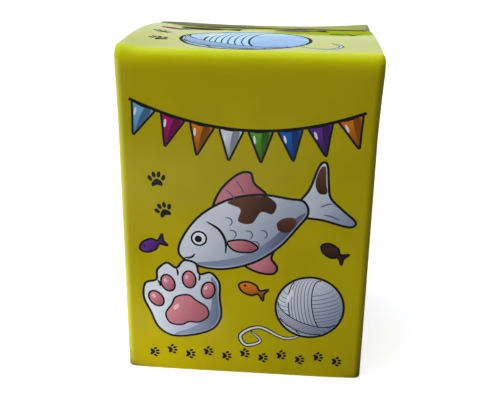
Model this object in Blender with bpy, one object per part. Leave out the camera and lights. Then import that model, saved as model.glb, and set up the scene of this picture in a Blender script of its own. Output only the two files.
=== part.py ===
"""A treat-dispensing mouse toy in its retail carton, standing closed on a table.

The carton is a folded-board tuck box: a sleeve, a lid hinged along the front top edge with a
tuck at its back, two dust flaps under the lid, and a glued bottom. The toy inside is a weighted
ball with a mouse's head: a hollow upper shell with four oval treat holes, screwed on a base
bowl that carries a ballast under a cover. The ball's size sets the head's and the carton's.

Metres, +Z up. The origin is the middle of the carton's foot, its front faces -Y.
"""

import math

import bmesh
import bpy
from mathutils import Matrix, Vector

# Carton, whose outside follows from the toy in it
BALL_SIDE_ROOM = 0.0065
BALL_FRONT_ROOM = 0.0035
EAR_HEADROOM = 0.0190
BOARD = 0.0006
CORNER_RADIUS = 0.0028
LID_FOLD_RADIUS = 0.0030
SIDE_FOLD_RADIUS = 0.0025
TUCK_FOLD_RADIUS = 0.0018

# Lid, tuck and dust flaps
LID_CROWN = 0.0012
LID_SIDE_INSET = 0.0008
TUCK_LENGTH = 0.0150
TUCK_LEAN = 0.0022
TUCK_SIDE_INSET = 0.0016
TUCK_CORNER = 0.0080
DUST_FLAP_MIDDLE_GAP = 0.0060
DUST_FLAP_FRONT_INSET = 0.0040
DUST_FLAP_BACK_INSET = 0.0045
DUST_FLAP_BACK_TAPER = 0.0040
DUST_FLAP_SHOULDER_CLEARANCE = 0.0010
SLIT = 0.0004

# Free edges of the sleeve
BACK_EDGE_RISE = 0.0009
BACK_EDGE_SAG = 0.0015
CORNER_EDGE_DROP = 0.0019
EDGE_STEP = 0.0002

# Bottom and glue seam
BOTTOM_PANEL_INSET = 0.0010
BOTTOM_FLAP_MIDDLE_GAP = 0.0060
BOTTOM_FLAP_TAPER = 0.0060
BOTTOM_GLUE_FLAP = 0.0140
SEAM_FLAP_WIDTH = 0.0130
SEAM_FLAP_TAPER = 0.0050
SEAM_FLAP_TOP_MARGIN = 0.0220
SEAM_FLAP_FOOT_MARGIN = 0.0060

# Clearances
GAP = 0.0003
HINGE_STANDOFF = 0.0004
OVERRUN = 0.0020

# Ball of the toy
TOY_SHIFT_BACK = 0.0015
BALL_RADIUS = 0.0385
BALL_WALL = 0.0020
FOOT_FLAT = 0.0003
SEAM_DEPTH_SHARE = 0.5455
TREAT_HOLE_WIDTH_SHARE = 0.6753
TREAT_HOLE_HEIGHT_SHARE = 0.3636
TREAT_HOLE_RISE = 0.0005
TREAT_HOLE_COUNT = 4

# Screwed neck between the upper shell and the base bowl
NECK_SETBACK = 0.0048
NECK_WALL = 0.0018
NECK_HEIGHT = 0.0070
COLLAR_WALL = 0.0018
COLLAR_WEB = 0.0022
SEAL_WIDTH = 0.0022
SEAL_HEIGHT = 0.0009

# Ballast in the base bowl
BALLAST_EDGE_CLEARANCE = 0.0006
BALLAST_TOP_MARGIN = 0.0008
COVER_THICKNESS = 0.0016
COVER_EDGE_CLEARANCE = 0.0006
BOSS_INSET = 0.0033
BOSS_RADIUS = 0.0027
BOSS_TOP_MARGIN = 0.0020
SCREW_RADIUS = 0.0012
SCREW_HEAD_RADIUS = 0.0022
SCREW_HEAD_HEIGHT = 0.0013
SCREW_TIP_WALL = 0.0006
SCREW_COUNT = 3

# Head
HEAD_RADIUS_SHARE = 0.6364
HEAD_FORWARD_SHARE = 0.3506
HEAD_RISE_SHARE = 0.6883
EAR_OUT_SHARE = 0.9388
EAR_BACK_SHARE = 0.1633
EAR_RISE_SHARE = 1.0
EAR_RADIUS_SHARE = 0.5510
EAR_THICKNESS = 0.0050
EAR_RIM = 0.0038
EAR_CUP_DEPTH = 0.0022
EAR_PAD_THICKNESS = 0.0011
EAR_PEG_RADIUS = 0.0014
EAR_PEG_REACH = 0.0035
EAR_TURN_DEG = 12
EAR_TIP_BACK_DEG = 14
NOSE_RADIUS = 0.0052
NOSE_SINK = 0.0011
NOSE_ELEVATION_DEG = 12
EYE_WIDTH = 0.0046
EYE_HEIGHT = 0.0074
EYE_DEPTH = 0.0036
EYE_ELEVATION_DEG = 41
EYE_AZIMUTH_DEG = 30
WHISKER_RADIUS = 0.00035
WHISKER_REACH_SHARE = 0.6939
WHISKER_SWEEP_BACK = 0.0060
WHISKER_ARCH = 0.0018
WHISKER_SPREAD = 0.0070
WHISKER_AZIMUTH_DEG = 27
WHISKER_ELEVATIONS_DEG = (15, 8, 1)

# Facets
FOLD_STEPS = 3
CORNER_STEPS = 3
EDGE_SPANS = 6
LID_SPANS = 8
CROWN_SPANS = 6
BALL_SEGMENTS = 48
BALL_RINGS = 24
SMALL_SEGMENTS = 24
TINY_SEGMENTS = 12
WHISKER_SIDES = 6
WHISKER_SPANS = 8
SMOOTH_UNDER_DEG = 35

# Sizes that follow from the ball's radius
SEAM_DEPTH = BALL_RADIUS * SEAM_DEPTH_SHARE
TREAT_HOLE_WIDTH = BALL_RADIUS * TREAT_HOLE_WIDTH_SHARE
TREAT_HOLE_HEIGHT = BALL_RADIUS * TREAT_HOLE_HEIGHT_SHARE
CAVITY_RADIUS = BALL_RADIUS - BALL_WALL
SEAM_RADIUS = math.sqrt(BALL_RADIUS**2 - SEAM_DEPTH**2)
NECK_RADIUS = SEAM_RADIUS - NECK_SETBACK
NECK_INSIDE = NECK_RADIUS - NECK_WALL
COVER_EDGE = NECK_INSIDE - COVER_EDGE_CLEARANCE
BOSS_CIRCLE = COVER_EDGE - BOSS_INSET
BALLAST_RADIUS = BOSS_CIRCLE - BOSS_RADIUS - BALLAST_EDGE_CLEARANCE
HEAD_RADIUS = BALL_RADIUS * HEAD_RADIUS_SHARE
EAR_OUT = HEAD_RADIUS * EAR_OUT_SHARE
EAR_BACK = HEAD_RADIUS * EAR_BACK_SHARE
EAR_RISE = HEAD_RADIUS * EAR_RISE_SHARE
EAR_RADIUS = HEAD_RADIUS * EAR_RADIUS_SHARE
WHISKER_REACH = HEAD_RADIUS * WHISKER_REACH_SHARE

# Levels and places that follow from the sizes
BOTTOM_FLAP_LEVEL = BOARD + GAP
TOY_FLOOR = BOTTOM_FLAP_LEVEL + BOARD + GAP
BALL_CENTRE = Vector((0, TOY_SHIFT_BACK, TOY_FLOOR + BALL_RADIUS - FOOT_FLAT))
HEAD_CENTRE = BALL_CENTRE + BALL_RADIUS * Vector((0, -HEAD_FORWARD_SHARE, HEAD_RISE_SHARE))
SEAM_LEVEL = BALL_CENTRE.z - SEAM_DEPTH
BOSS_TOP = BALL_CENTRE.z - math.sqrt(CAVITY_RADIUS**2 - (COVER_EDGE + BOSS_TOP_MARGIN) ** 2)
SCREW_FLOOR = BALL_CENTRE.z - math.sqrt(BALL_RADIUS**2 - (BOSS_CIRCLE + BOSS_RADIUS) ** 2) + SCREW_TIP_WALL
COVER_TOP = BOSS_TOP + GAP + COVER_THICKNESS
SIDE = BALL_RADIUS + BALL_SIDE_ROOM
BACK = BALL_RADIUS + BALL_FRONT_ROOM
FRONT = -BACK
CARTON_HEIGHT = HEAD_CENTRE.z + EAR_RISE + EAR_RADIUS + EAR_HEADROOM
DUST_FLAP_LEVEL = CARTON_HEIGHT - BOARD - GAP
TUCK_FACE = BACK - BOARD - GAP
DUST_FLAP_LENGTH = SIDE - DUST_FLAP_MIDDLE_GAP / 2
BOTTOM_FLAP_LENGTH = SIDE - BOTTOM_FLAP_MIDDLE_GAP / 2

FOLD_HALF_TURN = math.radians(45)
QUARTER = math.radians(90)


def clear_scene():
    for obj in list(bpy.data.objects):
        bpy.data.objects.remove(obj, do_unlink=True)


def finish(name, colour, roughness, metallic=0.0):
    """A plain Principled material."""
    material = bpy.data.materials.new(name)
    material.use_nodes = True
    shader = material.node_tree.nodes["Principled BSDF"]
    shader.inputs["Base Color"].default_value = (*colour, 1)
    shader.inputs["Roughness"].default_value = roughness
    shader.inputs["Metallic"].default_value = metallic
    return material


def pivot(name, point, parent=None):
    """An empty on a joint's axis, which carries the pieces that move about it."""
    empty = bpy.data.objects.new(name, None)
    bpy.context.scene.collection.objects.link(empty)
    empty.parent = parent
    empty.location = Vector(point) - (world_place(parent) if parent else Vector())
    return empty


def world_place(obj):
    place = obj.location.copy()
    while obj.parent:
        obj = obj.parent
        place += obj.location
    return place


def add_node(name, shape, material, parent=None):
    """The bmesh as a named object, its origin at its parent's place."""
    bmesh.ops.recalc_face_normals(shape, faces=shape.faces)
    if parent:
        bmesh.ops.translate(shape, verts=shape.verts, vec=-world_place(parent))
    mesh = bpy.data.meshes.new(name)
    shape.to_mesh(mesh)
    shape.free()
    mesh.shade_smooth()
    mesh.set_sharp_from_angle(angle=math.radians(SMOOTH_UNDER_DEG))
    mesh.materials.append(material)
    obj = bpy.data.objects.new(name, mesh)
    bpy.context.scene.collection.objects.link(obj)
    obj.parent = parent
    return obj


def loft(columns, closed=False):
    """Skins closed outlines that have as many points each, end to end or round a loop."""
    shape = bmesh.new()
    rings = [[shape.verts.new(point) for point in column] for column in columns]
    following = rings[1:] + (rings[:1] if closed else [])
    for ring, after in zip(rings, following):
        for i in range(len(ring)):
            j = (i + 1) % len(ring)
            shape.faces.new((ring[i], ring[j], after[j], after[i]))
    if not closed:
        shape.faces.new(rings[0])
        shape.faces.new(rings[-1][::-1])
    return shape


def revolve(profile, segments, centre=(0, 0, 0), closed=False):
    """Turns (radius, height) points about the vertical through centre. Points at radius 0 are poles."""
    shape = bmesh.new()
    origin = Vector(centre)
    rings = []
    for radius, height in profile:
        count = segments if radius > 0 else 1
        turns = (2 * math.pi * (k + 0.5) / segments for k in range(count))
        spots = (Vector((radius * math.cos(t), radius * math.sin(t), height)) for t in turns)
        rings.append([shape.verts.new(origin + spot) for spot in spots])
    following = rings[1:] + (rings[:1] if closed else [])
    for ring, after in zip(rings, following):
        for k in range(segments):
            m = (k + 1) % segments
            corners = (ring[k % len(ring)], ring[m % len(ring)], after[m % len(after)], after[k % len(after)])
            distinct = list(dict.fromkeys(corners))
            if len(distinct) > 2:
                shape.faces.new(distinct)
    return shape


def arc(centre, radius, start, end, steps):
    """Points on a circle in a plane, from one angle to another."""
    turns = (start + (end - start) * i / steps for i in range(steps + 1))
    return [(centre[0] + radius * math.cos(t), centre[1] + radius * math.sin(t)) for t in turns]


def ball(centre, radius, segments=BALL_SEGMENTS, rings=BALL_RINGS):
    shape = bmesh.new()
    bmesh.ops.create_uvsphere(shape, u_segments=segments, v_segments=rings, radius=radius)
    bmesh.ops.translate(shape, verts=shape.verts, vec=Vector(centre))
    return shape


def rod(start, end, radius, segments=TINY_SEGMENTS):
    """A round bar between two points."""
    shape = bmesh.new()
    span = Vector(end) - Vector(start)
    turn = span.to_track_quat("Z", "Y").to_matrix().to_4x4()
    place = Matrix.Translation((Vector(start) + Vector(end)) / 2) @ turn
    bmesh.ops.create_cone(
        shape, cap_ends=True, segments=segments, radius1=radius, radius2=radius,
        depth=span.length, matrix=place,
    )
    return shape


def combine(shape, others, operation):
    """The exact Boolean of a bmesh with each of the others, as a new bmesh."""
    target = scratch_object(shape)
    tools = [scratch_object(other) for other in others]
    for tool in tools:
        modifier = target.modifiers.new(operation, "BOOLEAN")
        modifier.operation = operation
        modifier.object = tool
    evaluated = target.evaluated_get(bpy.context.evaluated_depsgraph_get())
    mesh = bpy.data.meshes.new_from_object(evaluated)
    result = bmesh.new()
    result.from_mesh(mesh)
    for obj in [target, *tools]:
        bpy.data.objects.remove(obj, do_unlink=True)
    bpy.data.meshes.remove(mesh)
    return result


def scratch_object(shape):
    bmesh.ops.recalc_face_normals(shape, faces=shape.faces)
    mesh = bpy.data.meshes.new("scratch")
    shape.to_mesh(mesh)
    shape.free()
    obj = bpy.data.objects.new("scratch", mesh)
    bpy.context.scene.collection.objects.link(obj)
    return obj


def fold_lip(radius, turn_from, turn_to):
    """Outer and inner points across a fold, as (distance in from the outer face, distance below the top face)."""
    outer = []
    inner = []
    for i in range(FOLD_STEPS + 1):
        turn = turn_from + (turn_to - turn_from) * i / FOLD_STEPS
        outer.append((radius - radius * math.cos(turn), radius - radius * math.sin(turn)))
        core = radius - BOARD
        inner.append((radius - core * math.cos(turn), radius - core * math.sin(turn)))
    return outer, inner


def half_gap_turn(radius):
    return GAP / 2 / radius


def sleeve_fold(radius):
    """The half of a fold that the sleeve keeps, up to the crease."""
    return fold_lip(radius, 0, FOLD_HALF_TURN - half_gap_turn(radius))


def flap_fold(radius):
    """The half of a fold that its flap keeps, from the crease to flat."""
    return fold_lip(radius, FOLD_HALF_TURN + half_gap_turn(radius), QUARTER)


def raw_edge(drop):
    """A square-cut edge this far below the top face, with as many points as a fold."""
    heights = [drop + (FOLD_STEPS - i) * EDGE_STEP for i in range(FOLD_STEPS + 1)]
    return [(0, height) for height in heights], [(BOARD, height) for height in heights]


def sleeve_column(spot, inward, top, top_level, foot, foot_level):
    """One upright outline of the wall at a place on the sleeve's outer face."""
    outline = []
    for edge, level, sign, order in (
        (foot[0], foot_level, 1, -1),
        (top[0], top_level, -1, 1),
        (top[1], top_level, -1, -1),
        (foot[1], foot_level, 1, 1),
    ):
        for depth, drop in edge[::order]:
            place = Vector((*spot, 0)) + Vector((*inward, 0)) * depth
            outline.append((place.x, place.y, level + sign * drop))
    return outline


def wall_stops(length, first, last):
    """Distances along a wall where its edge changes: a slit at each end of the folded stretch."""
    return [0, first, first + SLIT, length - last - SLIT, length - last, length]


def build_sleeve(board):
    """The four walls, with the folded halves of the lid's, dust flaps' and bottom's creases."""
    inset = CORNER_RADIUS
    corner_top = raw_edge(CORNER_EDGE_DROP)
    foot_drop = raw_edge(BOTTOM_FLAP_LEVEL)
    columns = []

    def wall(start, end, inward, top, top_level, foot, foot_level, first, last):
        length = (Vector(end) - Vector(start)).length
        for stop in wall_stops(length, first, last):
            folded = first < stop < length - last
            columns.append(
                sleeve_column(
                    Vector(start).lerp(Vector(end), stop / length), inward,
                    top if folded else corner_top, top_level if folded else CARTON_HEIGHT,
                    foot if folded else foot_drop, foot_level if folded else 0,
                )
            )

    def corner(centre, start_turn):
        for i in range(1, CORNER_STEPS):
            turn = start_turn + QUARTER * i / CORNER_STEPS
            outward = Vector((math.cos(turn), math.sin(turn)))
            spot = Vector(centre) + outward * CORNER_RADIUS
            columns.append(sleeve_column(spot, -outward, corner_top, CARTON_HEIGHT, foot_drop, 0))

    def back_wall():
        for i in range(EDGE_SPANS + 1):
            share = i / EDGE_SPANS
            x = (SIDE - inset) * (1 - 2 * share)
            drop = BACK_EDGE_SAG * math.sin(math.pi * share) - BACK_EDGE_RISE
            ends = i in (0, EDGE_SPANS)
            foot = foot_drop if ends else sleeve_fold(SIDE_FOLD_RADIUS)
            columns.append(sleeve_column((x, BACK), (0, -1), raw_edge(drop), CARTON_HEIGHT, foot, 0))

    side_fold = sleeve_fold(SIDE_FOLD_RADIUS)
    front_slit = DUST_FLAP_FRONT_INSET - inset
    back_slit = DUST_FLAP_BACK_INSET - inset
    wall(
        (-SIDE + inset, FRONT), (SIDE - inset, FRONT), (0, 1),
        sleeve_fold(LID_FOLD_RADIUS), CARTON_HEIGHT, foot_drop, 0, SLIT, SLIT,
    )
    corner((SIDE - inset, FRONT + inset), -QUARTER)
    wall(
        (SIDE, FRONT + inset), (SIDE, BACK - inset), (-1, 0),
        side_fold, DUST_FLAP_LEVEL, side_fold, BOTTOM_FLAP_LEVEL, front_slit, back_slit,
    )
    corner((SIDE - inset, BACK - inset), 0)
    back_wall()
    corner((-SIDE + inset, BACK - inset), QUARTER)
    wall(
        (-SIDE, BACK - inset), (-SIDE, FRONT + inset), (1, 0),
        side_fold, DUST_FLAP_LEVEL, side_fold, BOTTOM_FLAP_LEVEL, back_slit, front_slit,
    )
    corner((-SIDE + inset, FRONT + inset), 2 * QUARTER)
    return add_node("carton_sleeve", loft(columns, closed=True), board)


def crease_axis(face, level, radius, side):
    """The place of a crease's axis: just outside the middle of the fold. side is +1 where the panel lies at +."""
    reach = (radius + HINGE_STANDOFF) * math.cos(FOLD_HALF_TURN)
    return face + side * (radius - reach), level - radius + reach


def build_lid(board, hinge):
    """The crowned top panel, from the front crease to the tuck's crease."""
    half = SIDE - LID_SIDE_INSET
    front_outer, front_inner = flap_fold(LID_FOLD_RADIUS)
    back_outer, back_inner = flap_fold(TUCK_FOLD_RADIUS)
    start = FRONT + LID_FOLD_RADIUS
    end = TUCK_FACE - TUCK_FOLD_RADIUS
    columns = []
    for i in range(LID_SPANS + 1):
        x = half * (2 * i / LID_SPANS - 1)
        swell = LID_CROWN * math.cos(x / half * QUARTER)
        crown = []
        for j in range(1, CROWN_SPANS):
            share = j / CROWN_SPANS
            crown.append((start + (end - start) * share, swell * math.sin(math.pi * share)))
        outline = [(x, FRONT + depth, CARTON_HEIGHT - drop) for depth, drop in front_outer]
        outline += [(x, y, CARTON_HEIGHT + rise) for y, rise in crown]
        outline += [(x, TUCK_FACE - depth, CARTON_HEIGHT - drop) for depth, drop in back_outer[::-1]]
        outline += [(x, TUCK_FACE - depth, CARTON_HEIGHT - drop) for depth, drop in back_inner]
        outline += [(x, y, CARTON_HEIGHT - BOARD + rise) for y, rise in crown[::-1]]
        outline += [(x, FRONT + depth, CARTON_HEIGHT - drop) for depth, drop in front_inner[::-1]]
        columns.append(outline)
    return add_node("lid", loft(columns), board, hinge)


def build_tuck(board, hinge):
    """The tuck flap behind the lid, with round lower corners. It leans in so that it slips out freely."""
    half = SIDE - TUCK_SIDE_INSET
    outer, inner = sleeve_fold(TUCK_FOLD_RADIUS)
    straight = half - TUCK_CORNER
    spread = [-half + TUCK_CORNER * (1 - math.cos(QUARTER * i / CORNER_STEPS)) for i in range(CORNER_STEPS)]
    places = spread + [-straight, 0, straight] + [-x for x in spread[::-1]]
    columns = []
    for x in places:
        past = max(abs(x) - straight, 0)
        cut = TUCK_CORNER - math.sqrt(max(TUCK_CORNER**2 - past**2, 0))
        share = (TUCK_LENGTH - cut) / TUCK_LENGTH
        low = TUCK_FOLD_RADIUS + TUCK_LENGTH * share
        lean = TUCK_LEAN * share
        outline = [(x, TUCK_FACE - depth, CARTON_HEIGHT - drop) for depth, drop in outer[::-1]]
        outline.append((x, TUCK_FACE - lean, CARTON_HEIGHT - low))
        outline.append((x, TUCK_FACE - lean - BOARD, CARTON_HEIGHT - low))
        outline += [(x, TUCK_FACE - depth, CARTON_HEIGHT - drop) for depth, drop in inner]
        columns.append(outline)
    return add_node("tuck_flap", loft(columns), board, hinge)


def flap_outline(side, y, reach, outer, inner, level, up):
    """A flap's outline across its fold at one place: up is +1 on top, -1 on the bottom."""
    outline = [(side * (SIDE - depth), y, level - up * drop) for depth, drop in outer]
    outline.append((side * (SIDE - reach), y, level))
    outline.append((side * (SIDE - reach), y, level - up * BOARD))
    outline += [(side * (SIDE - depth), y, level - up * drop) for depth, drop in inner[::-1]]
    return outline


def build_dust_flap(name, side, board, hinge):
    """A side flap under the lid: a sloping front shoulder lets it follow the lid without touching it."""
    outer, inner = flap_fold(SIDE_FOLD_RADIUS)
    start = FRONT + DUST_FLAP_FRONT_INSET + SLIT
    end = BACK - DUST_FLAP_BACK_INSET - SLIT
    shoulder = FRONT + DUST_FLAP_LENGTH + DUST_FLAP_SHOULDER_CLEARANCE
    first_reach = start - FRONT - DUST_FLAP_SHOULDER_CLEARANCE
    stations = (
        (start, first_reach),
        (shoulder, DUST_FLAP_LENGTH),
        (end - DUST_FLAP_BACK_TAPER, DUST_FLAP_LENGTH),
        (end, SIDE_FOLD_RADIUS + DUST_FLAP_BACK_TAPER),
    )
    columns = [
        flap_outline(side, y, reach, outer, inner, DUST_FLAP_LEVEL, 1) for y, reach in stations
    ]
    return add_node(name, loft(columns), board, hinge)


def build_bottom(board):
    """The glued bottom: two side flaps, the panel under them, and its glue flap inside the front wall."""
    outer, inner = flap_fold(SIDE_FOLD_RADIUS)
    start = FRONT + DUST_FLAP_FRONT_INSET + SLIT
    end = BACK - DUST_FLAP_BACK_INSET - SLIT
    for name, side in (("bottom_flap_left", -1), ("bottom_flap_right", 1)):
        stations = (
            (start, BOTTOM_FLAP_LENGTH - BOTTOM_FLAP_TAPER),
            (start + BOTTOM_FLAP_TAPER, BOTTOM_FLAP_LENGTH),
            (end - BOTTOM_FLAP_TAPER, BOTTOM_FLAP_LENGTH),
            (end, BOTTOM_FLAP_LENGTH - BOTTOM_FLAP_TAPER),
        )
        columns = [
            flap_outline(side, y, reach, outer, inner, BOTTOM_FLAP_LEVEL, -1) for y, reach in stations
        ]
        add_node(name, loft(columns), board)

    half = SIDE - BOTTOM_PANEL_INSET
    fold_half = SIDE - CORNER_RADIUS - SLIT
    lip = FRONT + BOTTOM_PANEL_INSET
    columns = []
    flat_start = [CORNER_RADIUS + i * EDGE_STEP for i in range(FOLD_STEPS + 1)]
    flat = [(depth, 0) for depth in flat_start], [(depth, BOARD) for depth in flat_start]
    for x, (under, over) in ((-half, flat), (-fold_half, (outer, inner)), (fold_half, (outer, inner)), (half, flat)):
        outline = [(x, BACK - depth, drop) for depth, drop in under]
        outline += [(x, lip, 0), (x, lip, BOARD)]
        outline += [(x, BACK - depth, drop) for depth, drop in over[::-1]]
        columns.append(outline)
    add_node("bottom_panel", loft(columns), board)

    face = FRONT + BOARD + GAP
    foot = BOARD + GAP
    glue_half = SIDE - DUST_FLAP_FRONT_INSET
    columns = []
    for x, height in (
        (-glue_half, BOTTOM_GLUE_FLAP / 2),
        (-glue_half + BOTTOM_GLUE_FLAP / 2, BOTTOM_GLUE_FLAP),
        (glue_half - BOTTOM_GLUE_FLAP / 2, BOTTOM_GLUE_FLAP),
        (glue_half, BOTTOM_GLUE_FLAP / 2),
    ):
        columns.append([
            (x, face, foot), (x, face + BOARD, foot),
            (x, face + BOARD, foot + height), (x, face, foot + height),
        ])
    add_node("bottom_glue_flap", loft(columns), board)


def build_seam_flap(board):
    """The strip that closes the sleeve's blank, glued inside the left wall along the back corner."""
    face = -SIDE + BOARD + GAP
    back = BACK - CORNER_RADIUS
    low = BOTTOM_FLAP_LEVEL + SEAM_FLAP_FOOT_MARGIN
    high = CARTON_HEIGHT - SEAM_FLAP_TOP_MARGIN
    columns = []
    for x in (face, face + BOARD):
        columns.append([
            (x, back, low), (x, back, high),
            (x, back - SEAM_FLAP_WIDTH, high - SEAM_FLAP_TAPER),
            (x, back - SEAM_FLAP_WIDTH, low + SEAM_FLAP_TAPER),
        ])
    return add_node("glue_seam_flap", loft(columns), board)


def radial(azimuth_deg, elevation_deg):
    """A direction from the head's centre: azimuth 0 is straight ahead, + to the toy's picture right."""
    azimuth = math.radians(azimuth_deg)
    elevation = math.radians(elevation_deg)
    flat = math.cos(elevation)
    return Vector((flat * math.sin(azimuth), -flat * math.cos(azimuth), math.sin(elevation)))


def ear_centre(side):
    return HEAD_CENTRE + Vector((side * EAR_OUT, EAR_BACK, EAR_RISE))


def ear_peg(side, radius):
    """The peg that holds an ear in the head's wall."""
    inward = (HEAD_CENTRE - ear_centre(side)).normalized()
    start = ear_centre(side) + inward * (EAR_RADIUS - 2 * EAR_RIM)
    end = HEAD_CENTRE - inward * (HEAD_RADIUS - EAR_PEG_REACH)
    return rod(start, end, radius)


def build_upper_shell(plastic, parent):
    """Ball and head moulded as one hollow shell, open at the seam, with treat holes and a screw collar."""
    solid = combine(ball(BALL_CENTRE, BALL_RADIUS), [ball(HEAD_CENTRE, HEAD_RADIUS)], "UNION")
    cavity = combine(
        ball(BALL_CENTRE, CAVITY_RADIUS),
        [ball(HEAD_CENTRE, HEAD_RADIUS - BALL_WALL, SMALL_SEGMENTS, SMALL_SEGMENTS // 2)],
        "UNION",
    )
    below = rod(
        (BALL_CENTRE.x, BALL_CENTRE.y, SEAM_LEVEL),
        (BALL_CENTRE.x, BALL_CENTRE.y, SEAM_LEVEL - BALL_RADIUS),
        BALL_RADIUS + OVERRUN, SMALL_SEGMENTS,
    )
    cuts = [cavity, below]
    for k in range(TREAT_HOLE_COUNT):
        cuts.append(treat_hole(k * 2 * math.pi / TREAT_HOLE_COUNT))
    for side in (-1, 1):
        cuts.append(ear_peg(side, EAR_PEG_RADIUS + GAP))
    shell = combine(solid, cuts, "DIFFERENCE")
    inner = NECK_RADIUS + GAP
    web_edge = SEAM_RADIUS - BALL_WALL / 2
    collar = revolve(
        [
            (inner, SEAM_LEVEL),
            (web_edge, SEAM_LEVEL),
            (web_edge, SEAM_LEVEL + COLLAR_WEB),
            (inner + COLLAR_WALL, SEAM_LEVEL + COLLAR_WEB),
            (inner + COLLAR_WALL, SEAM_LEVEL + NECK_HEIGHT),
            (inner, SEAM_LEVEL + NECK_HEIGHT),
        ],
        BALL_SEGMENTS, (0, TOY_SHIFT_BACK, 0), closed=True,
    )
    return add_node("upper_shell", combine(shell, [collar], "UNION"), plastic, parent)


def treat_hole(turn):
    """An oval bar that cuts one treat hole through the ball's wall."""
    outward = Vector((math.cos(turn), math.sin(turn), 0))
    centre = BALL_CENTRE + Vector((0, 0, TREAT_HOLE_RISE))
    start = centre + outward * (CAVITY_RADIUS * math.cos(FOLD_HALF_TURN))
    end = centre + outward * (BALL_RADIUS + OVERRUN)
    shape = rod(start, end, TREAT_HOLE_WIDTH / 2, SMALL_SEGMENTS)
    flatten = Matrix.Diagonal((1, 1, TREAT_HOLE_HEIGHT / TREAT_HOLE_WIDTH, 1))
    bmesh.ops.transform(shape, matrix=flatten, space=Matrix.Translation(-centre), verts=shape.verts)
    return shape


def sphere_arc(radius, first, last, steps):
    """Points of that lower half between two distances from the axis."""
    start = math.asin(first / radius)
    end = math.asin(last / radius)
    turns = (start + (end - start) * i / steps for i in range(steps + 1))
    return [(radius * math.sin(t), BALL_CENTRE.z - radius * math.cos(t)) for t in turns]


def build_base_bowl(plastic, parent):
    """The lower bowl: a flat spot to stand on, a groove for the seal, the screw neck and three bosses."""
    flat = math.sqrt(BALL_RADIUS**2 - (BALL_RADIUS - FOOT_FLAT) ** 2)
    rim_level = SEAM_LEVEL - GAP
    rim = math.sqrt(BALL_RADIUS**2 - (BALL_CENTRE.z - rim_level) ** 2)
    groove = NECK_RADIUS + SEAL_WIDTH + 2 * GAP
    groove_floor = rim_level - SEAL_HEIGHT
    arc_steps = BALL_RINGS // 3
    profile = [(0, TOY_FLOOR)]
    profile += sphere_arc(BALL_RADIUS, flat, rim, arc_steps)
    profile += [
        (groove, rim_level), (groove, groove_floor), (NECK_RADIUS, groove_floor),
        (NECK_RADIUS, SEAM_LEVEL + NECK_HEIGHT), (NECK_INSIDE, SEAM_LEVEL + NECK_HEIGHT),
    ]
    profile += sphere_arc(CAVITY_RADIUS, 0, NECK_INSIDE, arc_steps)[::-1]
    bowl = revolve(profile, BALL_SEGMENTS, (0, TOY_SHIFT_BACK, 0))
    bosses = []
    holes = []
    for spot in screw_places():
        boss = rod((*spot, TOY_FLOOR), (*spot, BOSS_TOP), BOSS_RADIUS)
        bosses.append(combine(boss, [ball(BALL_CENTRE, CAVITY_RADIUS + BALL_WALL / 2)], "INTERSECT"))
        holes.append(rod((*spot, SCREW_FLOOR), (*spot, BOSS_TOP + OVERRUN), SCREW_RADIUS + GAP))
    bowl = combine(bowl, bosses, "UNION")
    return add_node("base_bowl", combine(bowl, holes, "DIFFERENCE"), plastic, parent)


def screw_places():
    places = []
    for k in range(SCREW_COUNT):
        turn = QUARTER + 2 * math.pi * k / SCREW_COUNT
        places.append((BOSS_CIRCLE * math.cos(turn), TOY_SHIFT_BACK + BOSS_CIRCLE * math.sin(turn)))
    return places


def build_ballast(steel, plastic, screw_steel, parent):
    """A lens-shaped weight that lies in the bowl, its cover on the bosses, and the cover's screws."""
    weight = sphere_arc(CAVITY_RADIUS - GAP, 0, BALLAST_RADIUS, BALL_RINGS // 4)
    top = BOSS_TOP - BALLAST_TOP_MARGIN
    weight += [(BALLAST_RADIUS, top), (0, top)]
    add_node("ballast_weight", revolve(weight, BALL_SEGMENTS, (0, TOY_SHIFT_BACK, 0)), steel, parent)

    low = BOSS_TOP + GAP
    disc = revolve(
        [(0, low), (COVER_EDGE, low), (COVER_EDGE, COVER_TOP), (0, COVER_TOP)],
        BALL_SEGMENTS, (0, TOY_SHIFT_BACK, 0),
    )
    holes = [
        rod((*spot, low - OVERRUN), (*spot, COVER_TOP + OVERRUN), SCREW_RADIUS + GAP)
        for spot in screw_places()
    ]
    add_node("ballast_cover", combine(disc, holes, "DIFFERENCE"), plastic, parent)

    for number, (x, y) in enumerate(screw_places(), 1):
        seat = COVER_TOP + GAP
        tip = SCREW_FLOOR + GAP
        screw = [(0, tip), (SCREW_RADIUS, tip), (SCREW_RADIUS, seat), (SCREW_HEAD_RADIUS, seat)]
        for i in range(FOLD_STEPS + 1):
            turn = QUARTER * i / FOLD_STEPS
            radius = 0 if i == FOLD_STEPS else SCREW_HEAD_RADIUS * math.cos(turn)
            screw.append((radius, seat + SCREW_HEAD_HEIGHT * (1 + math.sin(turn)) / 2))
        add_node(f"cover_screw_{number}", revolve(screw, TINY_SEGMENTS, (x, y, 0)), screw_steel, parent)


def build_seal(rubber, parent):
    """The flat ring between the bowl's groove and the shell's seam."""
    low = SEAM_LEVEL - SEAL_HEIGHT
    inner = NECK_RADIUS + GAP
    high = SEAM_LEVEL - GAP
    profile = [(inner, low), (inner + SEAL_WIDTH, low), (inner + SEAL_WIDTH, high), (inner, high)]
    ring = revolve(profile, BALL_SEGMENTS, (0, TOY_SHIFT_BACK, 0), closed=True)
    return add_node("seal_ring", ring, rubber, parent)


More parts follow.
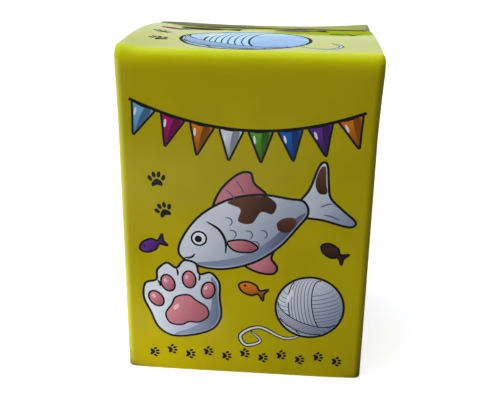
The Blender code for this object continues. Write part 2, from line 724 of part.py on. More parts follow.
def build_ear(side, name, plastic, pink, parent):
    """A round cup with a rolled rim, pegged in the head, and the soft pad in it."""
    half = EAR_THICKNESS / 2
    cup = EAR_RADIUS - EAR_RIM
    rim = arc((EAR_RADIUS - half, 0), half, -QUARTER, QUARTER, 2 * FOLD_STEPS)
    profile = [(0, -half), *rim, (cup, half - EAR_CUP_DEPTH), (0, half - EAR_CUP_DEPTH)]
    pose = (
        Matrix.Translation(ear_centre(side))
        @ Matrix.Rotation(math.radians(side * EAR_TURN_DEG), 4, "Z")
        @ Matrix.Rotation(QUARTER - math.radians(EAR_TIP_BACK_DEG), 4, "X")
    )
    shape = revolve(profile, SMALL_SEGMENTS)
    bmesh.ops.transform(shape, matrix=pose, verts=shape.verts)
    shape = combine(shape, [ball(HEAD_CENTRE, HEAD_RADIUS + GAP)], "DIFFERENCE")
    shape = combine(shape, [ear_peg(side, EAR_PEG_RADIUS)], "UNION")
    add_node(f"ear_{name}", shape, plastic, parent)

    low = half - EAR_CUP_DEPTH + GAP
    high = low + EAR_PAD_THICKNESS
    edge = cup - GAP
    pad = revolve([(0, low), (edge, low), (edge, high - EAR_PAD_THICKNESS / 2), (0, high)], SMALL_SEGMENTS)
    bmesh.ops.transform(pad, matrix=pose, verts=pad.verts)
    pad = combine(pad, [ball(HEAD_CENTRE, HEAD_RADIUS + GAP)], "DIFFERENCE")
    add_node(f"ear_pad_{name}", pad, pink, parent)


def build_eye(side, name, black, parent):
    """An oval button on the head's face."""
    direction = radial(side * EYE_AZIMUTH_DEG, EYE_ELEVATION_DEG)
    shape = bmesh.new()
    bmesh.ops.create_uvsphere(shape, u_segments=SMALL_SEGMENTS, v_segments=TINY_SEGMENTS, radius=1)
    size = Matrix.Diagonal((EYE_WIDTH / 2, EYE_HEIGHT / 2, EYE_DEPTH / 2, 1))
    turn = direction.to_track_quat("Z", "Y").to_matrix().to_4x4()
    place = Matrix.Translation(HEAD_CENTRE + direction * HEAD_RADIUS)
    bmesh.ops.transform(shape, matrix=place @ turn @ size, verts=shape.verts)
    shape = combine(shape, [ball(HEAD_CENTRE, HEAD_RADIUS + GAP)], "DIFFERENCE")
    return add_node(f"eye_{name}", shape, black, parent)


def build_nose(pink, parent):
    centre = HEAD_CENTRE + radial(0, NOSE_ELEVATION_DEG) * (HEAD_RADIUS - NOSE_SINK)
    shape = ball(centre, NOSE_RADIUS, SMALL_SEGMENTS, TINY_SEGMENTS)
    shape = combine(shape, [ball(HEAD_CENTRE, HEAD_RADIUS + GAP)], "DIFFERENCE")
    return add_node("nose", shape, pink, parent)


def build_whisker(side, name, elevation, spread, nylon, parent):
    """A thin bristle that leaves the cheek, arches up and thins to its tip."""
    outward = radial(side * WHISKER_AZIMUTH_DEG, elevation)
    root = HEAD_CENTRE + outward * (HEAD_RADIUS + GAP)
    run = Vector((side * WHISKER_REACH, WHISKER_SWEEP_BACK, spread))
    columns = []
    for i in range(WHISKER_SPANS + 1):
        share = i / WHISKER_SPANS
        centre = root + run * share + Vector((0, 0, WHISKER_ARCH * math.sin(math.pi * share)))
        radius = WHISKER_RADIUS * (1 - share / 2)
        ring = []
        for k in range(WHISKER_SIDES):
            turn = 2 * math.pi * k / WHISKER_SIDES
            ring.append(centre + Vector((0, math.cos(turn), math.sin(turn))) * radius)
        columns.append(ring)
    return add_node(name, loft(columns), nylon, parent)


def build_carton():
    print_board = finish("printed_board", (0.36, 0.31, 0.02), 0.35)
    raw_board = finish("bare_board", (0.62, 0.60, 0.55), 0.85)
    build_sleeve(print_board)
    lid_hinge = pivot("lid_hinge", (0, *crease_axis(FRONT, CARTON_HEIGHT, LID_FOLD_RADIUS, 1)))
    build_lid(print_board, lid_hinge)
    tuck_place = crease_axis(TUCK_FACE, CARTON_HEIGHT, TUCK_FOLD_RADIUS, -1)
    build_tuck(print_board, pivot("tuck_hinge", (0, *tuck_place), lid_hinge))
    for name, side in (("left", -1), ("right", 1)):
        x, z = crease_axis(side * SIDE, DUST_FLAP_LEVEL, SIDE_FOLD_RADIUS, -side)
        hinge = pivot(f"dust_flap_{name}_hinge", (x, 0, z))
        build_dust_flap(f"dust_flap_{name}", side, raw_board, hinge)
    build_bottom(raw_board)
    build_seam_flap(raw_board)


def build_toy():
    white = finish("white_plastic", (0.80, 0.82, 0.86), 0.22)
    pink = finish("pink_plastic", (0.75, 0.28, 0.36), 0.35)
    black = finish("black_plastic", (0.01, 0.01, 0.012), 0.15)
    grey = finish("grey_plastic", (0.30, 0.32, 0.36), 0.40)
    steel = finish("ballast_steel", (0.35, 0.35, 0.36), 0.45, 1.0)
    screw_steel = finish("screw_steel", (0.62, 0.62, 0.64), 0.30, 1.0)
    rubber = finish("seal_rubber", (0.03, 0.03, 0.03), 0.75)
    nylon = finish("whisker_nylon", (0.03, 0.03, 0.035), 0.40)

    lift = pivot("toy_lift", (0, TOY_SHIFT_BACK, TOY_FLOOR))
    build_base_bowl(white, lift)
    build_ballast(steel, grey, screw_steel, lift)
    twist = pivot("body_twist", (0, TOY_SHIFT_BACK, SEAM_LEVEL), lift)
    build_seal(rubber, twist)
    build_upper_shell(white, twist)
    for name, side in (("left", -1), ("right", 1)):
        build_ear(side, name, white, pink, twist)
        build_eye(side, name, black, twist)
        middle = (len(WHISKER_ELEVATIONS_DEG) - 1) / 2
        for number, elevation in enumerate(WHISKER_ELEVATIONS_DEG):
            spread = WHISKER_SPREAD * (middle - number)
            build_whisker(side, f"whisker_{name}_{number + 1}", elevation, spread, nylon, twist)
    build_nose(pink, twist)


def main():
    clear_scene()
    build_carton()
    build_toy()


main()
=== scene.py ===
import math

import bmesh
import bpy
import numpy as np
from mathutils import Matrix, Vector
from mathutils.geometry import delaunay_2d_cdt


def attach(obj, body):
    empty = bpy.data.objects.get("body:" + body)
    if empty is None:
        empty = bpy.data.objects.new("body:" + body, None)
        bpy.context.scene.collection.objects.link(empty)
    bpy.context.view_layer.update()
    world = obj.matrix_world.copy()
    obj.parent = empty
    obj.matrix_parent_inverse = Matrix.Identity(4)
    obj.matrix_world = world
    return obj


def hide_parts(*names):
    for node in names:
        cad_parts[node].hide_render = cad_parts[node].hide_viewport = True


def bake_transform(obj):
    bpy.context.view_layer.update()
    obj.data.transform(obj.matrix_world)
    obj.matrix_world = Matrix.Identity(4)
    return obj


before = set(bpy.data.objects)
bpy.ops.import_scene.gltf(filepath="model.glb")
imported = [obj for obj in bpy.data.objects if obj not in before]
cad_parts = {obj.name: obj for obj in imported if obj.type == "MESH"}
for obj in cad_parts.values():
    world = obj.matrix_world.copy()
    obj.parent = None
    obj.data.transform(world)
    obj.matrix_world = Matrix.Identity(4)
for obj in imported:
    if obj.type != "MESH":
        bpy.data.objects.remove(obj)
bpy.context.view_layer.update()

# The carton's sizes in millimetres, as in the CAD part
HALF_W = 45.0
HALF_D = 42.0
TOP = 123.5
BOARD = 0.6
CORNER = 2.8
FRONT_FOLD = 3.0
SIDE_FOLD = 2.5
TUCK_FOLD = 1.8
FLAP_LEVEL = 122.6
SIDE_TOP = FLAP_LEVEL - SIDE_FOLD
FRONT_TOP = TOP - FRONT_FOLD
CORNER_TOP = TOP - 1.9
TUCK_FACE = 40.3
TUCK_LENGTH = 15.0
TUCK_LEAN = 2.2
LID_CROWN = 0.35
WALL_SWELL = 0.45
SPLAY = 1.7
LID_SAG = 2.0
SAG_FOOT = 95.0
SPLAY_FOOT = 70.0
FLARE_LOW = 94.0
FLARE_HIGH = TOP - 6
FOOT_FLARE_TOP = 118.0
# Between LIP_LEVEL and GAP_LEVEL the back wall's inside carries a painted shadow, the gap behind the lid; above
# GAP_LEVEL, painted light.
GAP_LEVEL = 121.5
LIP_LEVEL = 119.6
FLARE_LEFT = 0.45
FLARE_RIGHT = 0.85
FLARE_FOOT = 0.5
HELD_WIDTH = 12.0
LEFT_CURL = 2.2
RIGHT_CURL = 0.8
EAR_RISE = 1.2
EAR_WIDTH = 5.0
FOOT_LIFT = 0.35
LID_SHINE = 0.82
WALL_SHINE = 0.12

# How far the back wall's edge stands above TOP, by the share of its length from the right
BACK_EDGE = ((0.0, 0.06, 0.15, 0.24, 0.33, 0.5, 0.67, 0.78, 0.87, 0.95, 1.0),
             (0.45, 0.1, -0.45, -0.8, -1.0, -1.05, -0.9, -0.6, -0.25, -0.08, -0.1))
FRONT_RUN = 2 * (HALF_W - CORNER)
SIDE_RUN = 2 * (HALF_D - CORNER)
TURN_RUN = CORNER * math.pi / 2
STOPS = np.cumsum([0, SIDE_RUN, TURN_RUN, FRONT_RUN, TURN_RUN, SIDE_RUN, TURN_RUN, FRONT_RUN, TURN_RUN])
LEFT_MID, FRONT_MID, RIGHT_MID, BACK_MID = (STOPS[2 * k] + (STOPS[2 * k + 1] - STOPS[2 * k]) / 2 for k in range(4))
CORNER_MIDS = [(STOPS[k] + STOPS[k + 1]) / 2 for k in (1, 3, 5, 7)]
FOLD_STEPS = 8
SLIT = 0.4
FLAP_FRONT = 4.4
FLAP_BACK = 4.9
FRONT_INSET = FLAP_FRONT - CORNER
BACK_INSET = FLAP_BACK - CORNER
FLAP_REACH = 42.0
LID_HALF = HALF_W - CORNER + CORNER * math.sin(math.pi / 4)
LID_START = -HALF_D + FRONT_FOLD
LID_END = TUCK_FACE - TUCK_FOLD

YELLOW = (188, 169, 3)
# A painted highlight: the brighter yellow of the front fold's middle.
FOLD_MID_HIGHLIGHT = (206, 208, 12)
# Painted sky light: a greener copy of the walls' yellow, for the lid.
LID_SKY_LIT_YELLOW = (174, 182, 10)
# The back wall's inner edge: a pale yellow painted as if lit, a painted shadow in the gap behind the lid, and painted
# shade at the left.
LIP_PAINTED_LIGHT = (250, 255, 178)
LIP_PAINTED_SHADOW = (48, 46, 26)
LIP_LEFT_PAINTED_SHADE = (186, 192, 156)
# Painted highlight and painted sheen: the front fold's bright yellow, also on every wall's top edge, and the pale
# yellow where the fold meets the lid, also along the lid's front edge.
FOLD_HIGHLIGHT = (216, 204, 9)
FOLD_SHEEN = (208, 214, 44)
# A painted highlight for the front's left corner.
CORNER_HIGHLIGHT = (232, 226, 84)
FOOT_BROWN = (104, 74, 34)
WHITE = (222, 226, 236)
SHADE = (138, 148, 176)
DEEP_SHADE = (96, 104, 132)
BLACK = (20, 19, 22)
PINK = (214, 132, 142)
PINK_SHADE = (170, 92, 104)
BOARD_GREY = (204, 198, 186)
BOARD_EDGE = (206, 200, 188)
BROWN = (66, 38, 28)
BROWN_LIGHT = (104, 64, 46)
PINK_LIGHT = (238, 190, 194)
PAD_SHADE = (164, 92, 104)
SKY = (118, 176, 226)
BLUE = (28, 96, 190)
GREEN = (86, 158, 44)
ORANGE = (222, 122, 26)
MAGENTA = (176, 26, 112)
PURPLE = (104, 52, 150)


def linear(rgb):
    """An sRGB colour of 0 to 255 as linear floats."""
    c = np.array(rgb, float) / 255
    return np.where(c <= 0.04045, c / 12.92, ((c + 0.055) / 1.055) ** 2.4)


def share_of(value):
    return np.clip(value, 0, 1)


def toned(first, second, share):
    """Inks at points, brought some share of the way to another ink."""
    return first + (second - first) * np.asarray(share)[..., None]


def bell(distance, width):
    """1 at no distance, falling off smoothly over about the width."""
    return np.exp(-(distance / width) ** 2)


# Drawing in the flat, millimetres

def smooth(points, closed=True, steps=6):
    """A Catmull-Rom curve through the points."""
    p = np.array(points, float)
    n = len(p)
    count = n if closed else n - 1
    out = []
    for i in range(count):
        if closed:
            a, b, c, d = p[i - 1], p[i], p[(i + 1) % n], p[(i + 2) % n]
        else:
            b, c = p[i], p[i + 1]
            a = p[i - 1] if i else 2 * b - c
            d = p[i + 2] if i + 2 < n else 2 * c - b
        for k in range(steps):
            t = k / steps
            out.append(0.5 * (2 * b + (c - a) * t + (2 * a - 5 * b + 4 * c - d) * t * t
                              + (3 * b - a - 3 * c + d) * t ** 3))
    if not closed:
        out.append(p[-1])
    return np.array(out)


def side_of(points, closed=True):
    """Unit normals to the left of a line."""
    p = np.array(points, float)
    if closed:
        along = np.roll(p, -1, 0) - np.roll(p, 1, 0)
    else:
        along = np.gradient(p, axis=0)
    along /= np.maximum(np.linalg.norm(along, axis=1)[:, None], 1e-9)
    return np.stack([-along[:, 1], along[:, 0]], 1)


def area(points):
    x, y = np.array(points).T
    return 0.5 * float(np.sum(x * np.roll(y, -1) - y * np.roll(x, -1)))


def grown(points, amount):
    """A closed outline moved outwards by an amount."""
    sign = -1 if area(points) > 0 else 1
    return np.array(points) + side_of(points) * amount * sign


def ribbon(points, width, taper=True):
    """A pen stroke along an open line, thinner at its ends."""
    p = np.array(points, float)
    share = np.linspace(0, 1, len(p))
    half = width / 2 * (share_of(np.sin(np.pi * share)) ** 0.5 * 0.85 + 0.15 if taper else np.ones(len(p)))
    normal = side_of(p, closed=False) * half[:, None]
    return np.concatenate([p + normal, (p - normal)[::-1]])


def oval(x, y, rx, ry=None, tilt=0, count=40):
    t = np.linspace(0, 2 * np.pi, count, endpoint=False)
    return turned(np.stack([rx * np.cos(t), (ry or rx) * np.sin(t)], 1), tilt) + (x, y)


def turned(points, degrees):
    c, s = math.cos(math.radians(degrees)), math.sin(math.radians(degrees))
    return np.array(points, float) @ np.array([[c, s], [-s, c]])


def fill(points, ink, to=None, line=None):
    """One layer of ink. Where to is given, the ink fades to it along a line from (x0, y0) to (x1, y1)."""
    return {"points": np.array(points, float), "ink": ink, "to": to, "line": line}


def inked(points, ink, pen=0.9, to=None, line=None):
    """A shape with a black outline."""
    return [fill(grown(points, pen / 2), BLACK), fill(grown(points, -pen / 2), ink, to, line)]


def moved(layers, x=0.0, y=0.0, tilt=0.0, scale=1.0):
    out = []
    for layer in layers:
        new = dict(layer)
        new["points"] = turned(layer["points"] * scale, tilt) + (x, y)
        if layer["line"] is not None:
            ends = np.array(layer["line"], float).reshape(2, 2)
            new["line"] = (turned(ends * scale, tilt) + (x, y)).ravel()
        out.append(new)
    return out


def darker(ink):
    return tuple(int(c * 0.62) for c in ink)


def stroke(points, width, ink=BLACK, steps=6):
    """A pen stroke through a few points."""
    return fill(ribbon(smooth(points, False, steps), width), ink)


def paw_mark():
    """A small solid paw mark, about 4 wide."""
    pad = [(-1.1, -1.2), (0, -0.8), (1.1, -1.2), (1.35, -0.4), (0.6, 0.5), (0, 0.75), (-0.6, 0.5), (-1.35, -0.4)]
    toes = [(-1.6, 0.9, 30), (-0.6, 1.75, 10), (0.6, 1.75, -10), (1.6, 0.9, -30)]
    return [fill(smooth(pad, steps=3), BLACK)] + [fill(oval(x, y, 0.48, 0.8, tilt, 14), BLACK) for x, y, tilt in toes]


def paw_big():
    """The sole of a white paw with pink pads, about 30 wide."""
    body = smooth([(-12, -9), (-13.6, -1), (-14.6, 5), (-12.5, 10.6), (-8, 11.4), (-6.6, 15.2), (-2.4, 17.4),
                   (0.6, 14.8), (4.2, 17.2), (8.2, 15.2), (8.6, 10.8), (12.8, 10.6), (15, 6), (13.8, 0),
                   (12.2, -8.6), (6.4, -13.4), (-6, -13.6)])
    layers = inked(body, WHITE, to=SHADE, line=(-6, 10, 16, -18))
    crescent = smooth([(11.4, -8.2), (13, 0), (14, 5.4), (12.6, 8.8), (11.2, 2), (8.6, -5.4), (2, -10.4),
                       (-5.6, -12), (-5.6, -13), (6, -12.8)])
    layers.append(fill(crescent, SHADE, DEEP_SHADE, (2, -6, 13, -12)))
    pad = smooth([(-7.4, -7.4), (-3.4, -9), (0, -8.2), (3.6, -9), (7.6, -7.2), (8, -3.4), (4.8, 0.2), (2.4, 3),
                  (-2.4, 3), (-4.8, 0.2), (-8, -3.2)])
    layers += inked(pad, PINK, 0.7, PAD_SHADE, (-2, 3, 6, -9))
    for x, y, tilt in ((-10, 3.6, 24), (-4, 9.2, 8), (4.2, 9.2, -8), (10.2, 3.6, -24)):
        layers += inked(oval(x, y, 2.5, 3.5, tilt), PINK, 0.7, PAD_SHADE, (x - 1, y + 2, x + 2, y - 3))
        layers.append(fill(oval(x - 0.7, y + 1.2, 0.6, 0.9, tilt, 12), PINK_LIGHT))
    layers.append(fill(oval(-3.4, -1.2, 1.5, 0.8, 35, 16), PINK_LIGHT))
    creases = (((-7.6, 11.2), (-7.2, 8.2)), ((0.6, 14.6), (0.3, 11.4)), ((8.4, 10.6), (7.6, 8)))
    return layers + [stroke([a, np.mean((a, b), 0) + (0.3, 0), b], 0.8, steps=4) for a, b in creases]


def yarn_ball(radius, light=WHITE, dark=SHADE, line=DEEP_SHADE, pen=0.9):
    """A wound ball: strands as circles on a sphere, seen from the front, in three windings."""
    fade = np.array((-0.5, 0.6, 0.7, -0.9)) * radius
    layers = inked(oval(0, 0, radius, count=72), light, pen, dark, fade)
    reach = radius - pen * 0.75

    def strand(normal, offset):
        n = np.array(normal, float) / np.linalg.norm(normal)
        a = np.cross(n, (0, 0, 1.0))
        a /= np.linalg.norm(a)
        b = np.cross(n, a)
        t = np.linspace(0, 2 * np.pi, 181)
        ring = offset * n + math.sqrt(1 - offset ** 2) * (np.cos(t)[:, None] * a + np.sin(t)[:, None] * b)
        front = ring[:, 2] > 0.02
        start = int(np.argmax(front & ~np.roll(front, 1))) if not front.all() else 0
        run = [ring[(start + i) % 180] for i in range(180) if front[(start + i) % 180]]
        return (np.array(run)[:, :2] * reach)[::3]

    windings = (((0.25, 0.95, 0.30), -0.78, 0.78, 11), ((0.93, -0.20, 0.36), -0.34, 0.42, 6),
                ((0.55, 0.62, 0.42), -0.62, -0.16, 5))
    for index, (normal, low, high, count) in enumerate(windings):
        if index:
            first, second = strand(normal, low), strand(normal, high)
            if np.dot(first[-1] - first[0], second[-1] - second[0]) < 0:
                second = second[::-1]
            layers.append(fill(np.concatenate([first, second[::-1]]), light, dark, fade))
            for end in (first, second):
                layers.append(fill(ribbon(end, 0.034 * radius, False), BLACK))
        for offset in np.linspace(low, high, count + 2)[1:-1]:
            layers.append(fill(ribbon(strand(normal, offset), 0.024 * radius), line))
    shine = smooth([(-0.62, 0.30), (-0.50, 0.56), (-0.28, 0.72), (-0.34, 0.58), (-0.50, 0.40)], steps=4) * radius
    layers.append(fill(shine, (240, 243, 250)))
    return layers


def loose_end(points, width, core, ink):
    """The loose end of a ball of yarn."""
    line = smooth(points, False, 8)
    return [fill(ribbon(line, width), BLACK), fill(ribbon(line[1:-1], core), ink)]


def fish():
    """A plain fish, 62 long, white with brown patches, facing left."""
    body = [(-31, 0.5), (-26.5, 6.4), (-17, 11.6), (-5, 13.2), (6, 10.6), (14.5, 5.6), (19, 2.6),
            (18.6, -2.2), (13, -5.8), (4, -10.4), (-7, -12.6), (-18.5, -11), (-27, -6)]
    tail = [(16.5, 2.4), (22.5, 6.2), (29, 13), (31.5, 12.4), (29.4, 5.6), (28.2, 0.4), (30.4, -5.4), (33, -11.4),
            (30, -12.2), (22.6, -6.4), (16.5, -2.4)]
    top_fin = [(-12, 11.6), (-7, 17.4), (1, 20.6), (5.6, 19.6), (5.4, 15.4), (7.4, 9.6), (-2, 11.8)]
    low_fin = [(-10, -11.4), (-7.4, -16.4), (-2.2, -19.4), (0.4, -17.6), (-0.2, -13.6), (1.4, -10.4)]
    layers = inked(smooth(tail), WHITE, to=SHADE, line=(20, 8, 32, -14))
    layers += inked(smooth(top_fin), PINK, to=PINK_SHADE, line=(-6, 18, 6, 8))
    layers += inked(smooth(low_fin), PINK, to=PINK_SHADE, line=(-6, -12, 0, -20))
    layers += inked(smooth(body), WHITE, to=SHADE, line=(-12, 14, 2, -20))
    belly = smooth([(-28.4, -4.6), (-18.4, -9.9), (-7, -11.6), (4, -9.3), (13, -4.8), (18, -1.6), (12, -2.6),
                    (2, -6.6), (-8, -8.6), (-18, -7.4)])
    layers.append(fill(belly, SHADE, DEEP_SHADE, (-4, -6, 4, -13)))
    patches = (
        ([(-6.4, 12.4), (-3, 8.4), (-5.6, 4.4), (-1.4, 1.8), (3.4, 4.6), (6.8, 2.4), (9.6, 5.2), (8, 9), (5.6, 10.2),
          (-0.6, 12.3)], (6, 3, -4, 12)),
        ([(7, -1.4), (10.4, -0.6), (13.6, -2), (13.2, -4.6), (9.6, -6.2), (6.6, -4.4)], (8, -6, 12, 0)),
        ([(25.2, 7.6), (28.8, 11.9), (30.6, 11.5), (28.8, 6.4), (27.6, 2.6), (25, 3.6)], (26, 2, 30, 12)),
    )
    layers += [fill(smooth(points, steps=5), BROWN, BROWN_LIGHT, line) for points, line in patches]
    layers.append(stroke([(-16.4, 8.6), (-13.4, 4), (-13, -1), (-15, -5.8)], 1.0))
    for x, y in ((-9, 5.6), (-9.6, 0.6), (-8.6, -4.4), (-4.2, -1.8), (-3.6, -6.4), (0.8, -3.6)):
        scale = [(x - 0.6, y + 1.9), (x + 1.1, y + 0.9), (x + 1.2, y - 0.8), (x - 0.4, y - 1.9)]
        layers.append(stroke(scale, 0.55, DEEP_SHADE, 4))
    side_fin = smooth([(-12.4, -1.6), (-6, -3.4), (-3, -7.6), (-6.4, -8.4), (-11.4, -5.8)])
    layers += inked(side_fin, PINK, 0.7, PINK_SHADE, (-10, -2, -6, -8))
    layers += inked(oval(-21.6, 3.4, 2.7, count=24), (236, 238, 244), 0.7)
    layers.append(fill(oval(-21.9, 3.3, 1.35, count=18), BLACK))
    layers.append(stroke([(-30.2, -1.6), (-27.4, -2.4), (-25.4, -1.6)], 0.8))
    rays = (((-5, 17), (-3.4, 12.6)), ((-0.4, 18.9), (0.6, 13)), ((23.4, -4.4), (28, -8.6)), ((23.4, -1.4), (28, -1.8)))
    return layers + [stroke([a, np.mean((a, b), 0) + (0.3, 0.2), b], 0.6, DEEP_SHADE, 4) for a, b in rays]


def bunting(start, end, slack, inks):
    """Pennants on a slack string."""
    drop, half = 11.0, 4.2
    t = np.linspace(0, 1, 16 * len(inks) + 1)
    line = np.stack([start[0] + (end[0] - start[0]) * t,
                     start[1] + (end[1] - start[1]) * t - 4 * slack * t * (1 - t)], 1)
    layers = []
    for i, ink in enumerate(inks):
        middle = line[16 * i + 8]
        slope = line[16 * i + 12] - line[16 * i + 4]
        tilt = math.degrees(math.atan2(slope[1], slope[0]))
        flag = [(-half, 0), (-half / 2, -0.3), (0, -0.4), (half / 2, -0.3), (half, 0), (half * 0.62, -drop * 0.42),
                (0.5, -drop * 0.94), (0, -drop), (-0.5, -drop * 0.94), (-half * 0.62, -drop * 0.42)]
        flag = turned(smooth(flag, steps=3), tilt) + middle
        layers += inked(flag, ink, 0.8, darker(ink), (*(middle + (-1, -1)), *(middle + (3, -drop))))
        fold = smooth([(half * 0.1, -1.2), (half * 0.72, -1), (half * 0.42, -drop * 0.5), (0.3, -drop * 0.8)], steps=3)
        layers.append(fill(turned(fold, tilt) + middle, darker(ink)))
        glint = turned(oval(0, 0, 0.45, 1.5, 8, 12), tilt) + middle + turned([(-half * 0.5, -3.2)], tilt)
        layers.append(fill(glint, (240, 240, 244)))
    layers.append(fill(ribbon(line, 1.1, False), BLACK))
    return layers


def biscuit(ink):
    """A small fish-shaped treat."""
    shape = smooth([(-4.6, 0), (-2.6, 2), (0.6, 2), (2.4, 0.7), (4.8, 2.3), (4.2, 0), (4.8, -2.3), (2.4, -0.7),
                    (0.6, -2), (-2.6, -2)], steps=4)
    return inked(shape, ink, 0.7, darker(ink), (-2, 2, 2, -3)) + [fill(oval(-2.6, 0.5, 0.45, count=10), BLACK)]


def arranged(*items):
    """Motifs, each with its x, y, tilt and scale."""
    return [layer for motif, *place in items for layer in moved(motif, *place)]


def face_art():
    """The design of the front and the back."""
    tail = [(25, 19.5), (16, 16.4), (6, 20.6), (-1, 17), (1, 12.6), (6.4, 14.6), (2.6, 19)]
    foot = [(paw_mark(), -35 + 7 * i, 7.2 + (i % 2) * 1.5, -90 + (i % 2) * 14) for i in range(11)]
    return arranged(
        (fish(), 4.5, 62, 24), (paw_big(), -22.5, 29.5, 13), (loose_end(tail, 1.9, 0.8, WHITE),),
        (yarn_ball(12.6), 24.5, 30, 20), (biscuit(ORANGE), 3, 36.5, -22, 1.15), (biscuit(BROWN), 32, 53, -32, 1.1),
        (biscuit(PURPLE), -34, 53, 24, 1.1), (paw_mark(), -29, 66, 22, 1.5), (paw_mark(), -31.5, 77.5, 4, 1.5), *foot)


def side_art():
    """The design of the two sides: a winding trail of paw marks past a ball."""
    trail = smooth([(-26, 16), (-12, 30), (10, 34), (24, 46), (16, 62), (-6, 68), (-22, 80), (-16, 90)], False, 8)
    marks = []
    for i in range(1, len(trail) - 2, 4):
        step = trail[i + 1] - trail[i - 1]
        heading = math.degrees(math.atan2(step[1], step[0])) - 90
        shift = turned([(2.6 * (-1) ** (i // 4), 0)], heading)[0]
        marks.append((paw_mark(), *(trail[i] + shift), heading, 1.35))
    return arranged(*marks, (yarn_ball(13.5), 17, 20, -15), (fish(), -6, 50, -14, 0.5),
                    (biscuit(MAGENTA), 24, 77, 30, 1.2), (biscuit(GREEN), -25, 58, -10, 1.2))


def sleeve_art():
    layers = arranged((face_art(), FRONT_MID), (face_art(), BACK_MID), (side_art(), RIGHT_MID), (side_art(), LEFT_MID))
    wide = [SKY, MAGENTA, ORANGE, WHITE, GREEN, BLUE, PURPLE, ORANGE]
    narrow = [GREEN, ORANGE, WHITE, BLUE, MAGENTA, SKY, PURPLE]
    for mid, run, inks in ((LEFT_MID, SIDE_RUN, narrow), (FRONT_MID, FRONT_RUN, wide), (RIGHT_MID, SIDE_RUN, narrow),
                           (BACK_MID, FRONT_RUN, wide)):
        layers += bunting((mid - run / 2 + 2, 107), (mid + run / 2 - 2, 104.5), 8.5, inks)
    return layers


def lid_art():
    loose = [(17, -27), (26, -31), (31, -25), (28, -17)]
    return arranged(
        (yarn_ball(23.5, (196, 224, 252), (160, 194, 238), (44, 62, 98), 1.3), -3, -12, 10),
        (loose_end(loose, 2.0, 0.9, (188, 214, 240)),), (biscuit(MAGENTA), -33, 16, 40, 1.3),
        (biscuit(BROWN), -20, 27, -6, 2.6), (biscuit(PURPLE), 16, 29, 8, 2.2), (biscuit(GREEN), 33, 12, -35, 1.3),
        (paw_mark(), -33, -20, 30, 1.7), (paw_mark(), -35, -4, 8, 1.7))


# Panels: each place() takes flat coordinates and gives points in millimetres

def sleeve_place(u, v):
    """Along the left, front, right and back walls, with each wall's rounded corner after it."""
    x, y, nx, ny, swell = (np.zeros_like(u) for _ in range(5))
    a, b = HALF_W - CORNER, HALF_D - CORNER
    for k, (cx, cy) in enumerate(((-a, -b), (a, -b), (a, b), (-a, b))):
        on = (u >= STOPS[2 * k]) | (k == 0)
        start = math.pi * (1 + k / 2)
        past = u - STOPS[2 * k + 1]
        turn, before = start + np.maximum(past, 0) / CORNER, np.minimum(past, 0)
        x = np.where(on, cx + CORNER * np.cos(turn) - before * math.sin(start), x)
        y = np.where(on, cy + CORNER * np.sin(turn) + before * math.cos(start), y)
        nx, ny = np.where(on, np.cos(turn), nx), np.where(on, np.sin(turn), ny)
        share = share_of((u - STOPS[2 * k]) / (STOPS[2 * k + 1] - STOPS[2 * k]))
        swell = np.where(on & (past < 0), np.sin(np.pi * share), swell)
    bulge = WALL_SWELL * swell ** 1.3 * np.sin(np.pi * share_of(v / SIDE_TOP)) ** 0.8
    high = share_of((v - SAG_FOOT) / (SIDE_TOP - SAG_FOOT)) ** 1.5
    beside = share_of((np.abs(x) - HALF_W + 2) / 1.5)
    return splayed(x + nx * bulge, y + ny * bulge, v - sag(x, y) * high * beside)


def sag(x, y):
    """How far the lid has sunk at (x, y): towards its tucked end, but hardly at its left edge."""
    held = 0.9 * bell(x + LID_HALF, HELD_WIDTH)
    return LID_SAG * share_of((y + 6) / (LID_END + 6)) ** 1.3 * (1 - held)


def splayed(x, y, z):
    """The carton has spread a little at its foot and its top, at the back corners most, as the photographed one."""
    back = share_of((y + 10) / (HALF_D + 10)) ** 1.6
    high = share_of((z - SPLAY_FOOT) / (TOP - SPLAY_FOOT)) ** 1.6
    flare = np.where(x > 0, FLARE_RIGHT, FLARE_LEFT) * share_of((z - FLARE_LOW) / (FLARE_HIGH - FLARE_LOW)) ** 1.5
    flare = flare + FLARE_FOOT * share_of(1 - z / FOOT_FLARE_TOP) ** 0.8
    return np.stack([x * (1 + (SPLAY * back * high + flare) / HALF_W), y, z], 1)


def fold_edge(x):
    """How far the front face has turned back at x, past the start of the corner."""
    past = np.clip(np.abs(x) - (HALF_W - CORNER), 0, CORNER)
    return CORNER - np.sqrt(CORNER ** 2 - past ** 2)


def front_fold_place(u, v):
    turn = np.radians(v)
    y = -HALF_D + fold_edge(u) * np.cos(turn) + FRONT_FOLD * (1 - np.cos(turn))
    x = u * (1 - (1 - LID_HALF / HALF_W) * np.sin(turn) ** 2)
    ear = EAR_RISE * bell(u + HALF_W, EAR_WIDTH) * np.sin(turn)
    return splayed(x, y, FRONT_TOP + FRONT_FOLD * np.sin(turn) + ear)


def lid_place(u, v):
    share = share_of((v - LID_START) / (LID_END - LID_START))
    crown = LID_CROWN * np.cos(np.clip(u / LID_HALF, -1, 1) * np.pi / 2) * np.sin(np.pi * share)
    wave = 0.25 * np.sin(np.pi * share) ** 2 * np.sin(u / 13.0 + 1.1) * np.sin(v / 17.0)
    left = LEFT_CURL * bell(u + LID_HALF, HELD_WIDTH) * np.sin(np.pi * share ** 0.85)
    right = RIGHT_CURL * bell(u - LID_HALF, 9) * np.sin(np.pi * share) ** 0.8
    ear = EAR_RISE * bell(u + LID_HALF, EAR_WIDTH) * (1 - share) ** 6
    return splayed(u, v, TOP + crown + wave + left + right + ear - sag(u, v))


def tuck_fold_place(u, v):
    turn = np.radians(v)
    return splayed(u, LID_END + TUCK_FOLD * np.sin(turn), TOP - sag(u, LID_END) - TUCK_FOLD * (1 - np.cos(turn)))


